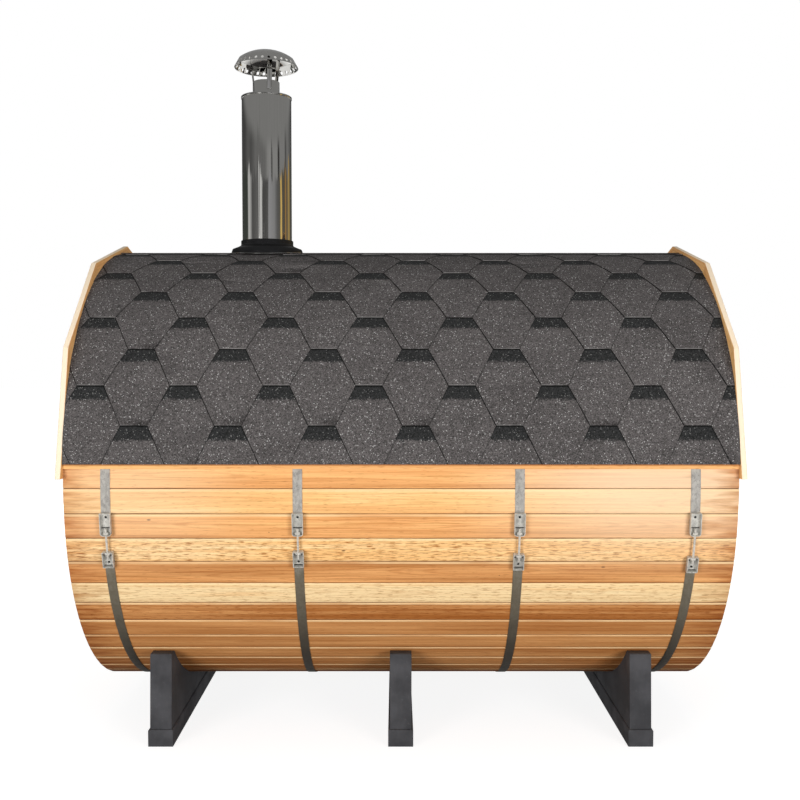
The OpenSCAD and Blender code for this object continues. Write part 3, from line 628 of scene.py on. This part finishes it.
def shingle_granules(colours, sizes):
    f = Finish("shingle")
    along, angle, _ = f.polar(mirrored=True)
    row = f.over(f.minus(angle, FIRST_COURSE_ANGLE), COURSE_ANGLE)
    course = f.math("FLOOR", row)
    rise = f.minus(row, course)
    odd = f.math("MODULO", course, 2.0)
    shift = f.range(odd, TAB_SHIFT + TAB_PITCH / 2, TAB_SHIFT)
    slot = f.over(f.minus(along, shift), TAB_PITCH)
    tab = f.math("ROUND", slot)
    aside = f.times(f.minus(slot, tab), TAB_PITCH)
    beside = f.math("ABSOLUTE", aside)
    half_width = f.range(rise, TAB_LOW_WIDTH / 2, (TAB_PITCH - TAB_LOW_WIDTH) / 2)
    outside = f.minus(beside, half_width)
    in_gap = f.step(outside, -0.5 * MM, 0.5 * MM)

    patch = f.chance(f.plus(f.times(tab, 7.13), f.times(course, 3.7)))[0]
    cloud = f.noise(f.place, 9.0, detail=3.0)
    tone = f.times(f.range(patch, 0.92, 1.08), f.range(cloud, 0.86, 1.14))

    grit, clump, white = granules(f, sizes)
    base = f.shade(linear(colours.shingle), f.times(grit, tone))

    # Printed dark band at the top of each gap, with a painted shadow under the edge of the tab over it
    ragged = f.plus(rise, f.times(f.minus(clump, 0.5), 0.25))
    band_start = 1.0 - sizes.shade_band / COURSE_HEIGHT
    band = f.times(in_gap, f.step(ragged, band_start - 0.02, band_start + 0.03))
    base = f.mix(band, base, f.shade(linear(colours.shingle_dark), grit))
    base = f.mix(f.times(white, f.range(band, 0.85, 0.35)), base, WHITE_GRANULE)
    # Painted shadow just under the lower edge of the tab above
    base = f.shade(base, f.range(f.times(band, f.step(rise, 0.955, 0.98)), 1.0, 0.2))

    # Painted shadow beside the slanted edges of the tabs, deeper on the side away from the light
    line = f.step(f.math("ABSOLUTE", f.minus(outside, 1.2 * MM)), 2.6 * MM, 1.0 * MM)
    line = f.times(line, f.range(f.math("LESS_THAN", aside, 0.0), 0.5, 0.95))
    base = f.shade(base, f.range(line, 1.0, 0.06))

    # Painted highlight along the lower ends of the tabs
    tab_highlight = f.minus(1.0, f.step(rise, 0.008, 0.02))
    tab_highlight = f.times(tab_highlight, f.step(outside, 2 * MM, -2 * MM))
    tab_highlight = f.times(tab_highlight, f.step(f.noise(f.place, 7.0), 0.4, 0.6))
    base = f.mix(f.times(tab_highlight, 0.55), base, TAB_EDGE_HIGHLIGHT)

    return finish_granules(f, base, grit)


def ridge_granules(colours, sizes):
    f = Finish("ridge_shingle")
    along = f.split(f.place)[0]
    grit, _, white = granules(f, sizes)
    cloud = f.range(f.noise(f.place, 9.0, detail=3.0), 0.82, 1.12)
    base = f.shade(linear(colours.shingle), f.times(grit, cloud))
    base = f.mix(f.times(white, 0.6), base, RIDGE_WHITE_GRANULE)
    lap = f.math("FRACT", f.over(along, RIDGE_LAP))
    base = f.shade(base, f.range(f.step(lap, 0.965, 0.985), 1.0, 0.3))
    return finish_granules(f, base, grit)


def roof_board_wood(colours):
    f = Finish("roof_board_wood")
    along, angle, radius = f.polar(mirrored=True)
    turn = f.over(f.minus(angle, ROOF_BOARD_START_ANGLE), ROOF_BOARD_ANGLE)
    index, across = f.boards(turn, ROOF_BOARD_ANGLE * BARREL_R)
    base, relief = timber(f, colours, along, across, radius, index, 0.38, 0.2, 0.5)
    eave_angle = ROOF_BOARD_START_ANGLE + EAVE_SHOW / COURSE_R
    # Painted shadow on the boards just under the lower edge of the shingles
    eave_shadow = f.step(angle, eave_angle - 9 * MM / COURSE_R, eave_angle)
    base = f.tint(eave_shadow, base, EAVE_SHADOW_TINT)
    return finish_timber(f, end_grain(f, base), relief, 0.6)


def trim_wood(colours):
    f = Finish("trim_wood")
    x, angle, radius = f.polar(mirrored=True)
    turn = f.over(f.minus(angle, TRIM_START_ANGLE), TRIM_ANGLE)
    index = f.math("FLOOR", turn)
    middle = f.plus(f.times(f.plus(index, 0.5), TRIM_ANGLE), TRIM_START_ANGLE)
    local = f.minus(angle, middle)
    run = f.times(radius, f.math("SINE", local))
    out = f.times(radius, f.math("COSINE", local))
    _, y, _ = f.split(f.place)
    side = f.plus(index, f.times(f.math("SIGN", y), 11.0))
    board = f.plus(side, f.times(f.math("SIGN", x), 23.0))
    base, relief = timber(f, colours, run, out, x, board, 0.36, 0.15, 0.55)
    edge = f.step(f.endways(), 0.8, 0.3)
    base = f.mix(f.times(edge, 0.88), base, linear(colours.pale_edge))
    return finish_timber(f, base, relief, 0.58)


def wall_wood(colours, offset, name):
    f = Finish(name)
    x, y, z = f.split(f.place)
    index, across = f.boards(f.over(f.plus(y, offset), WALL_BOARD_WIDTH), WALL_BOARD_WIDTH)
    board = f.plus(index, f.times(f.math("SIGN", x), 31.0))
    tone, fleck, streak = f.chance(board)
    tone = f.range(tone, 0.15, 0.8)
    base, relief = timber(f, colours, z, across, x, board, tone, f.times(fleck, fleck), streak)
    from_edge = f.minus(WALL_BOARD_WIDTH / 2, f.math("ABSOLUTE", across))
    joint = f.step(from_edge, *WALL_JOINT)
    return finish_timber(f, f.shade(base, f.range(joint, 1.0, 0.4)), relief, 0.58)


def door_trim_wood(colours):
    f = Finish("door_trim_wood")
    x, y, z = f.split(f.place)
    base, relief = timber(f, colours, z, y, x, 5.0, 0.3, 0.1, 0.5)
    return finish_timber(f, base, relief, 0.55)


def galvanised_steel(name, shown, shine):
    """Plain zinc, as its node tree and its colour."""
    f = Finish(name)
    flakes = f.parts(f.cells(f.stretch(f.place, (1.0, 1.0, 0.7)), 130.0)["Color"])[0]
    cloud = f.noise(f.place, 24.0, detail=3.0)
    speck = f.noise(f.place, 260.0)
    base = f.shade(linear(shown), f.times(f.range(flakes, 0.8, 1.2), f.range(cloud, 0.75, 1.25)))
    base = f.shade(base, f.range(f.step(speck, 0.62, 0.70), 1.0, 0.55))
    f.colour(base)
    f.metal(shine)
    f.roughness(f.times(f.range(flakes, 0.34, 0.46), f.range(cloud, 0.85, 1.15)))
    f.bump(cloud, 0.4 * MM, 0.3)
    return f, base


def strap_steel(colours):
    """Zinc with grime towards the ground, and painted shade where a lug covers a band."""
    f, base = galvanised_steel("strap_zinc", colours.zinc, STRAP_SHINE)
    x, angle, _ = f.polar()
    height = f.polar(mirrored=True)[1]
    uneven = f.plus(height, f.times(f.noise(f.place, 24.0, detail=3.0), 0.12))
    base = f.mix(f.times(f.step(uneven, *GRIME_ANGLES), 0.8), base, linear(colours.grime))
    base = f.mix(f.times(f.step(uneven, *SOIL_ANGLES), 0.8), base, linear(colours.soil))
    # Painted shade on the bands under the lugs, which shows through their slits
    count = len(LUG_END_ANGLES)
    place = f.over(f.plus(x, HALF_L), 2 * HALF_L)
    stops = [(i / count, grey(end)) for i, end in enumerate(LUG_END_ANGLES)]
    ends = f.ramp(place, stops, "CONSTANT")
    below = f.times(angle, -1.0)
    lug_shade = f.times(f.math("GREATER_THAN", below, LUG_TOP_ANGLE), f.math("LESS_THAN", below, ends))
    f.colour(f.shade(base, f.range(lug_shade, 1.0, 0.03)))
    return f.material


def rod_steel(colours, sizes):
    f = Finish("rod_steel")
    _, y, z = f.split(f.place)
    slant = f.plus(z, f.times(y, 0.18))
    thread = f.math("SINE", f.times(slant, 2 * math.pi / sizes.thread))
    cloud = f.noise(f.place, 60.0, detail=2.0)
    f.colour(f.shade(linear(colours.bright_zinc), f.range(cloud, 0.85, 1.15)))
    f.metal(ROD_SHINE)
    f.roughness(f.range(cloud, 0.22, 0.34))
    f.bump(thread, 0.3 * MM, 0.8)
    return f.material


def stainless_steel(colours):
    f = Finish("stainless_steel")
    x, y, z = f.split(f.place)
    turn = f.math("ARCTAN2", f.minus(x, FLUE_X), y)
    rolled = f.noise(f.join(f.times(turn, 2.2), f.times(z, 1.5), 0.0), 1.6, detail=2.0)
    smear = f.noise(f.join(f.times(turn, 30.0), f.times(z, 3.0), 0.0), 1.0, detail=3.0)
    f.colour(f.shade(linear(colours.stainless), f.range(smear, 0.90, 1.08)))
    f.metal(1.0)
    f.roughness(f.range(smear, 0.04, 0.10))
    f.bump(rolled, 3 * MM, 0.2)
    return f.material


def black_rubber(colours):
    f = Finish("black_rubber")
    cloud = f.noise(f.place, 35.0, detail=4.0)
    dust = f.step(f.noise(f.place, 400.0, detail=2.0), 0.62, 0.75)
    base = f.shade(linear(colours.rubber), f.range(cloud, 0.7, 1.3))
    f.colour(f.mix(f.times(dust, 0.12), base, DUST))
    f.roughness(f.range(cloud, 0.28, 0.5), RUBBER_GLOSS)
    f.bump(cloud, 0.6 * MM, 0.4)
    return f.material


def cradle_paint(colours, name, shown):
    f = Finish(name)
    brushed = f.noise(f.stretch(f.place, (90.0, 8.0, 22.0)), detail=3.0)
    cloud = f.noise(f.place, 11.0, detail=4.0)
    scuff = f.step(f.noise(f.place, 55.0, detail=5.0, roughness=0.65), 0.60, 0.70)
    base = f.shade(linear(shown), f.range(f.step(cloud, 0.3, 0.7), 0.78, 1.24))
    base = f.shade(base, f.range(brushed, 0.92, 1.08))
    base = f.mix(f.times(scuff, 0.22), base, linear(colours.worn_paint))
    f.colour(base)
    f.roughness(f.range(cloud, 0.5, 0.66), PAINT_GLOSS)
    f.bump(brushed, 0.5 * MM, 0.5)
    return f.material


def select_only(piece):
    bpy.ops.object.select_all(action="DESELECT")
    piece.select_set(True)
    bpy.context.view_layer.objects.active = piece


def apply_modifier(piece, kind, **settings):
    select_only(piece)
    bpy.ops.object.modifier_add(type=kind)
    modifier = piece.modifiers[-1]
    for key, value in settings.items():
        setattr(modifier, key, value)
    bpy.ops.object.modifier_apply(modifier=modifier.name)


def repeat(piece, count, offset):
    apply_modifier(
        piece, "ARRAY", count=count, use_relative_offset=False,
        use_constant_offset=True, constant_offset_displace=offset,
    )


def cut_away(piece, cutter):
    apply_modifier(piece, "BOOLEAN", object=cutter, operation="DIFFERENCE", solver="EXACT")
    bpy.data.objects.remove(cutter)


def turn_mesh(piece, turns, centre=(0, 0, 0), move=(0, 0, 0)):
    """Turns and then moves all of a mesh inside its object."""
    select_only(piece)
    bpy.ops.object.mode_set(mode="EDIT")
    bpy.ops.mesh.select_all(action="SELECT")
    for axis, angle in turns:
        bpy.ops.transform.rotate(value=angle, orient_axis=axis, center_override=centre)
    bpy.ops.transform.translate(value=move)
    bpy.ops.object.mode_set(mode="OBJECT")


def new_piece(name, add, **settings):
    """Adds a plain shape, with nothing else selected."""
    bpy.ops.object.select_all(action="DESELECT")
    add(**settings)
    piece = bpy.context.object
    piece.name = name
    return piece


def round_edges(piece, width, corner=30.0, segments=2, **settings):
    apply_modifier(
        piece, "BEVEL", width=width, segments=segments, limit_method="ANGLE",
        angle_limit=math.radians(corner), **settings,
    )


def copy_node(node, flat_angle=FLAT_ANGLE):
    """Copy of a node of the frame, with its loose triangles joined into clean faces."""
    select_only(frame["nodes"][node])
    bpy.ops.object.duplicate()
    piece = bpy.context.object
    piece.name = f"{node}_finish"
    del piece["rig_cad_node"]
    bpy.ops.object.parent_clear(type="CLEAR_KEEP_TRANSFORM")
    piece.data.materials.clear()
    bpy.ops.object.mode_set(mode="EDIT")
    bpy.ops.mesh.select_mode(type="VERT")
    bpy.ops.mesh.select_all(action="SELECT")
    bpy.ops.mesh.remove_doubles(threshold=MERGE_DISTANCE)
    bpy.ops.mesh.dissolve_limited(angle_limit=flat_angle)
    bpy.ops.object.mode_set(mode="OBJECT")
    return piece


def hand_over(piece, slot, *materials, nodes=()):
    """Gives a finished piece its materials, sharp edges and body, and hides the nodes it stands for."""
    for material in materials:
        piece.data.materials.append(material)
    select_only(piece)
    bpy.ops.object.shade_smooth_by_angle(angle=SHARP_ANGLE)
    bpy.ops.object.mode_set(mode="EDIT")
    bpy.ops.mesh.select_mode(type="EDGE")
    bpy.ops.mesh.select_all(action="DESELECT")
    bpy.ops.mesh.edges_select_sharp(sharpness=SHARP_ANGLE)
    bpy.ops.mesh.mark_sharp()
    bpy.ops.object.mode_set(mode="OBJECT")
    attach(piece, "root")
    if nodes:
        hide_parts(*nodes)
    bpy.ops.object.select_all(action="DESELECT")


def dress(node, slot, *materials, edge=0.0, corner=30.0, segments=2, **settings):
    """Replaces a node by a copy with rounded edges and its finish."""
    piece = copy_node(node)
    if edge:
        round_edges(piece, edge, corner, segments, **settings)
    hand_over(piece, slot, *materials, nodes=(node,))


def box_between(name, low, high):
    """Cube between two corners, with its place in its mesh."""
    piece = new_piece(name, bpy.ops.mesh.primitive_cube_add, size=1.0)
    low, high = Vector(low), Vector(high)
    bpy.ops.object.mode_set(mode="EDIT")
    bpy.ops.transform.resize(value=high - low)
    bpy.ops.transform.translate(value=(low + high) / 2)
    bpy.ops.object.mode_set(mode="OBJECT")
    return piece


def cut_grooves(piece, face_x, first_y, count, low_z, high_z, depth):
    """Cuts a row of upright V grooves into a face that looks along X."""
    half = depth / math.sqrt(2)
    ends = low_z - GROOVE_OVERRUN, high_z + GROOVE_OVERRUN
    cutter = box_between("groove", (-half, -half, ends[0]), (half, half, ends[1]))
    turn_mesh(cutter, (("Z", math.radians(45)),), move=(face_x, first_y, 0))
    repeat(cutter, count, (0, WALL_BOARD_WIDTH, 0))
    cut_away(piece, cutter)


def settle_tabs(piece):
    """Slopes each tab down to the upper half of its course, which the frame reaches in a step."""
    slope = piece.vertex_groups.new(name="slope")
    for vertex in piece.data.vertices:
        up = vertex.co.z - AXIS_Z
        if math.hypot(vertex.co.y, up) > TAB_R - 0.5 * MM:
            start = FIRST_COURSE_ANGLE + TAB_START / 2 / COURSE_R
            rise = (math.atan2(up, abs(vertex.co.y)) - start) / COURSE_ANGLE
            slope.add([vertex.index], rise % 1.0, "REPLACE")
    bpy.ops.object.empty_add(location=(0, 0, AXIS_Z), rotation=(0, math.pi / 2, 0))
    axis = bpy.context.object
    apply_modifier(
        piece, "CAST", cast_type="CYLINDER", use_z=False, factor=1.0, use_radius_as_size=False,
        size=TAB_SETTLED_R, vertex_group=slope.name, object=axis, use_transform=True,
    )
    bpy.data.objects.remove(axis)
    piece.vertex_groups.clear()


class SAUNA_OT_staves(bpy.types.Operator):
    """Round the edges of the staves and give each its own tone of timber"""

    bl_idname = "sauna.staves"
    bl_label = "Staves"

    def execute(self, context):
        material = stave_wood(context.scene.sauna_colours)
        for node in STAVE_NODES:
            dress(node, "stave_wood", material, edge=context.scene.sauna_sizes.timber_edge, corner=15.0)
        return {"FINISHED"}


class SAUNA_OT_roof(bpy.types.Operator):
    """Cover the roof with granulated shingles over thin boards"""

    bl_idname = "sauna.roof"
    bl_label = "Roof"

    def execute(self, context):
        colours = context.scene.sauna_colours
        sizes = context.scene.sauna_sizes
        covering = shingle_granules(colours, sizes)
        boards = roof_board_wood(colours)
        for side in ("front", "back"):
            node = f"{side}_shingles"
            piece = copy_node(node)
            settle_tabs(piece)
            hand_over(piece, "shingle", covering, nodes=(node,))
            dress(f"{side}_roof_boards", "trim_wood", boards, edge=sizes.board_edge)
        ridge = copy_node("ridge_shingles", flat_angle=0.0)
        hand_over(ridge, "shingle", ridge_granules(colours, sizes), nodes=("ridge_shingles",))
        return {"FINISHED"}


class SAUNA_OT_trim(bpy.types.Operator):
    """Finish the trim boards at both ends of the roof"""

    bl_idname = "sauna.trim"
    bl_label = "End trim"

    def execute(self, context):
        sizes = context.scene.sauna_sizes
        material = trim_wood(context.scene.sauna_colours)
        for end in ("left", "right"):
            dress(f"{end}_trim_boards", "trim_wood", material, edge=sizes.trim_edge, segments=3)
        return {"FINISHED"}


class SAUNA_OT_bands(bpy.types.Operator):
    """Finish the steel bands with their lugs and tension rods"""

    bl_idname = "sauna.bands"
    bl_label = "Bands and tensioners"

    def execute(self, context):
        colours = context.scene.sauna_colours
        sizes = context.scene.sauna_sizes
        strap = strap_steel(colours)
        for node in BAND_NODES:
            dress(node, "galvanised_steel", strap, edge=sizes.band_edge)
        lug = galvanised_steel("lug_zinc", colours.lug_zinc, LUG_SHINE)[0].material
        bright = rod_steel(colours, sizes)
        for node in ("upper_lugs", "lower_lugs"):
            # The rounded lug edges take the paler rod steel, partly worn bright zinc and partly a painted
            # highlight
            dress(node, "galvanised_steel", lug, bright, edge=sizes.lug_edge, material=1)
        dress("tension_rods", "galvanised_steel", bright, edge=sizes.steel_edge)
        return {"FINISHED"}


class SAUNA_OT_flue(bpy.types.Operator):
    """Finish the flue, its boot and its rain cap"""

    bl_idname = "sauna.flue"
    bl_label = "Flue"

    def execute(self, context):
        colours = context.scene.sauna_colours
        sizes = context.scene.sauna_sizes
        sheet = stainless_steel(colours)
        for node in FLUE_NODES:
            dress(node, "stainless_steel", sheet, edge=sizes.steel_edge)
        dress("flue_boot", "black_rubber", black_rubber(colours), edge=sizes.rubber_edge, segments=3)
        hand_over(make_seam(sizes), "stainless_steel", sheet)
        return {"FINISHED"}


def make_seam(sizes):
    """Folded seam that runs up the insulated pipe, a little right of its front."""
    low_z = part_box("flue_boot")[1].z + SEAM_GAP
    high_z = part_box("flue_top_plate")[0].z - SEAM_GAP
    front_y = FLUE_Y - PIPE_R
    half = sizes.seam_width / 2
    seam = box_between(
        "pipe_seam", (FLUE_X - half, front_y - sizes.seam_rise, low_z),
        (FLUE_X + half, front_y + SEAM_SINK, high_z),
    )
    round_edges(seam, sizes.seam_rise / 2)
    turn_mesh(seam, (("Z", SEAM_TURN),), centre=(FLUE_X, FLUE_Y, 0))
    return seam


class SAUNA_OT_end_walls(bpy.types.Operator):
    """Divide the end walls into upright boards"""

    bl_idname = "sauna.end_walls"
    bl_label = "End walls"

    def execute(self, context):
        material = wall_wood(context.scene.sauna_colours, WALL_BOARD_WIDTH / 2, "wall_wood")
        groove = context.scene.sauna_sizes.groove
        half_count = math.ceil(WALL_HIGH.y / WALL_BOARD_WIDTH)
        for node in WALL_NODES:
            low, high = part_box(node)
            piece = copy_node(node)
            face_x = low.x if low.x < 0 else high.x
            first_y = -(half_count - 0.5) * WALL_BOARD_WIDTH
            cut_grooves(piece, face_x, first_y, 2 * half_count, low.z, high.z, groove)
            hand_over(piece, "wall_wood", material, nodes=(node,))
        return {"FINISHED"}


class SAUNA_OT_door(bpy.types.Operator):
    """Divide the door leaf into boards and finish its frame, hinges and handle"""

    bl_idname = "sauna.door"
    bl_label = "Door"

    def execute(self, context):
        colours = context.scene.sauna_colours
        sizes = context.scene.sauna_sizes
        low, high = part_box("door_leaf")
        leaf = copy_node("door_leaf")
        count = round((high.y - low.y) / WALL_BOARD_WIDTH) - 1
        cut_grooves(leaf, high.x, low.y + WALL_BOARD_WIDTH, count, low.z, high.z, sizes.groove)
        hand_over(leaf, "wall_wood", wall_wood(colours, 0.0, "door_wood"), nodes=("door_leaf",))
        trim = door_trim_wood(colours)
        dress("door_frame", "trim_wood", trim, edge=sizes.trim_edge)
        dress("door_handle", "trim_wood", trim, edge=sizes.handle_edge, segments=3)
        zinc = galvanised_steel("hinge_zinc", colours.lug_zinc, LUG_SHINE)[0].material
        dress("door_hinges", "galvanised_steel", zinc, edge=sizes.steel_edge)
        hand_over(make_hinge_screws(), "galvanised_steel", zinc)
        return {"FINISHED"}


def make_hinge_screws():
    """Cross-slotted screws of both hinges, modelled once and copied."""
    low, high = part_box("door_hinges")
    screw = new_piece(
        "hinge_screws", bpy.ops.mesh.primitive_cylinder_add,
        vertices=SCREW_SIDES, radius=SCREW_R, depth=2 * SCREW_RISE,
    )
    round_edges(screw, SCREW_ROUNDING)
    for x, y in ((SCREW_SLOT_REACH, SCREW_SLOT / 2), (SCREW_SLOT / 2, SCREW_SLOT_REACH)):
        slot = box_between("slot", (-x, -y, SCREW_SLOT_FLOOR), (x, y, SCREW_RISE * 2))
        cut_away(screw, slot)
    lowest_z = low.z + HINGE_HEIGHT / 2 - SCREW_SPACING
    turn_mesh(
        screw, (("Y", math.radians(90)), ("X", SCREW_TURN)),
        move=(low.x + HINGE_THICKNESS, low.y + SCREW_INSET, lowest_z),
    )
    for count, offset in (
        (3, (0, 0, SCREW_SPACING)),
        (2, (0, high.y - low.y - 2 * SCREW_INSET, 0)),
        (2, (0, 0, high.z - low.z - HINGE_HEIGHT)),
    ):
        repeat(screw, count, offset)
    return screw


class SAUNA_OT_cradles(bpy.types.Operator):
    """Paint the cradles, with rubbed edges"""

    bl_idname = "sauna.cradles"
    bl_label = "Cradles"

    def execute(self, context):
        colours = context.scene.sauna_colours
        sizes = context.scene.sauna_sizes
        paint = cradle_paint(colours, "grey_paint", colours.paint)
        worn = cradle_paint(colours, "worn_grey_paint", colours.worn_paint)
        for node in CRADLE_NODES:
            dress(node, "grey_painted_wood", paint, worn, edge=sizes.cradle_edge, material=1)
        return {"FINISHED"}


class SAUNA_OT_stage(bpy.types.Operator):
    """Set up the floor, the studio light and the camera"""

    bl_idname = "sauna.stage"
    bl_label = "Stage"

    def execute(self, context):
        scene = context.scene
        scene.view_settings.view_transform = "Standard"
        make_floor()
        make_world(scene)
        make_surround()
        for side in (-1, 1):
            for name, y, power in SIDE_LAMP_ROWS:
                place = (side * SIDE_LAMP_X, y, SIDE_LAMP_Z)
                make_lamp(f"{name}_{side}", place, SIDE_LAMP_TARGET, SIDE_LAMP_SIZE, power)
        make_lamp("top_light", TOP_LAMP_PLACE, TOP_LAMP_TARGET, TOP_LAMP_SIZE, TOP_LAMP_POWER)
        make_camera(scene)
        return {"FINISHED"}


def background_rays(nodes, links):
    """Value of 1 for the rays that show the white background: straight, reflected or passed through."""
    path = nodes.new("ShaderNodeLightPath")
    shown = path.outputs["Is Camera Ray"]
    for ray in ("Is Glossy Ray", "Is Transmission Ray"):
        either = nodes.new("ShaderNodeMath")
        either.operation = "MAXIMUM"
        links.new(shown, either.inputs[0])
        links.new(path.outputs[ray], either.inputs[1])
        shown = either.outputs[0]
    return shown


def make_floor():
    """Floor that the camera sees as white round the object's soft shadow."""
    floor = new_piece("floor", bpy.ops.mesh.primitive_plane_add, size=FLOOR_SIZE, location=(0, 0, FLOOR_Z))
    f = Finish("pale_floor")
    f.colour(FLOOR_TONE)
    f.roughness(1.0, 0.0)
    far = f.step(f.vector("LENGTH", f.place)["Value"], *FLOOR_FADE)
    glow = f.range(far, FLOOR_NEAR_GLOW, 1.0)
    reflected = f.range(far, FLOOR_NEAR_REFLECTED, 1.0)
    straight = f.add("ShaderNodeLightPath").outputs["Is Camera Ray"]
    shown = background_rays(f.nodes, f.links)
    f.glow(grey(1.0), f.times(f.range(straight, reflected, glow), shown))
    floor.data.materials.append(f.material)


def make_world(scene):
    """Soft light from all round, which the camera sees as white."""
    world = bpy.data.worlds.new("studio")
    scene.world = world
    world.use_nodes = True
    nodes, links = world.node_tree.nodes, world.node_tree.links
    backdrop = nodes["Background"]
    backdrop.inputs["Color"].default_value = grey(1.0)
    strength = nodes.new("ShaderNodeMapRange")
    strength.inputs["To Min"].default_value = WORLD_LIGHT
    strength.inputs["To Max"].default_value = 1.0
    links.new(background_rays(nodes, links), strength.inputs["Value"])
    links.new(strength.outputs["Result"], backdrop.inputs["Strength"])


def make_surround():
    """Upright stripes round the studio that only shiny surfaces reflect."""
    surround = new_piece(
        "reflection_surround", bpy.ops.mesh.primitive_cylinder_add, vertices=SURROUND_SIDES,
        radius=SURROUND_R, depth=SURROUND_HEIGHT, end_fill_type="NGON", location=(0, 0, SURROUND_MIDDLE_Z),
    )
    bpy.ops.object.transform_apply(location=True, rotation=False, scale=False)
    for ray in ("camera", "diffuse", "shadow", "transmission", "volume_scatter"):
        setattr(surround, f"visible_{ray}", False)
    f = Finish("studio_stripes")
    x, y, z = f.split(f.place)
    turn = f.math("ARCTAN2", x, f.times(y, -1.0))
    place = f.plus(f.over(turn, 2 * math.pi), 0.5)
    high = f.ramp(place, HIGH_STRIPES)
    low = f.ramp(place, LOW_STRIPES)
    peaks = f.times(f.sway(f.join(turn, 0.0, 0.0), (5.0, 1.0, 1.0)), 3.0)
    warm = f.times(f.math("GREATER_THAN", place, WARM_STRIPES_START), WARM_STRIPES_RISE)
    above = f.minus(z, f.plus(peaks, warm))
    seen = f.mix(f.step(above, *LOW_STRIPE_END), low, high)
    f.colour(grey(0.0))
    f.glow(f.mix(f.step(z, *EVEN_ABOVE), seen, EVEN_TONE), 1.0)
    surround.data.materials.append(f.material)


def make_lamp(name, place, target, size, power):
    lamp = bpy.data.lights.new(name, "AREA")
    lamp.shape = "RECTANGLE"
    lamp.size, lamp.size_y = size
    lamp.energy = power
    holder = bpy.data.objects.new(name, lamp)
    holder.location = place
    holder.rotation_euler = (Vector(target) - Vector(place)).to_track_quat("-Z", "Y").to_euler()
    holder.visible_glossy = False
    bpy.context.scene.collection.objects.link(holder)


def make_camera(scene):
    camera = bpy.data.cameras.new("camera")
    camera.lens = CAMERA_LENS
    camera.sensor_width = CAMERA_SENSOR
    camera.shift_x = CAMERA_SHIFT
    holder = bpy.data.objects.new("camera", camera)
    holder.location = CAMERA_PLACE
    holder.rotation_euler = (CAMERA_TILT, 0, 0)
    scene.collection.objects.link(holder)
    scene.camera = holder


class SAUNA_PT_panel(bpy.types.Panel):
    """Steps that dress the sauna, and their sizes and colours"""

    bl_idname = "SAUNA_PT_panel"
    bl_label = "Barrel sauna"
    bl_space_type = "VIEW_3D"
    bl_region_type = "UI"
    bl_category = "Sauna"

    def draw(self, context):
        for step in STEPS:
            self.layout.operator(step.bl_idname)
        for group in (context.scene.sauna_sizes, context.scene.sauna_colours):
            for key in group.bl_rna.properties.keys():
                if key not in ("rna_type", "name"):
                    self.layout.prop(group, key)


STEPS = (
    SAUNA_OT_stage, SAUNA_OT_staves, SAUNA_OT_end_walls, SAUNA_OT_door, SAUNA_OT_bands,
    SAUNA_OT_roof, SAUNA_OT_trim, SAUNA_OT_flue, SAUNA_OT_cradles,
)
CLASSES = (SaunaSizes, SaunaColours, *STEPS, SAUNA_PT_panel)


def register():
    for kind in CLASSES:
        bpy.utils.register_class(kind)
    bpy.types.Scene.sauna_sizes = bpy.props.PointerProperty(type=SaunaSizes)
    bpy.types.Scene.sauna_colours = bpy.props.PointerProperty(type=SaunaColours)


def unregister():
    del bpy.types.Scene.sauna_colours
    del bpy.types.Scene.sauna_sizes
    for kind in reversed(CLASSES):
        bpy.utils.unregister_class(kind)


def main():
    register()
    bpy.ops.sauna.stage()
    bpy.ops.sauna.staves()
    bpy.ops.sauna.end_walls()
    bpy.ops.sauna.door()
    bpy.ops.sauna.bands()
    bpy.ops.sauna.roof()
    bpy.ops.sauna.trim()
    bpy.ops.sauna.flue()
    bpy.ops.sauna.cradles()


if __name__ == "__main__":
    main()
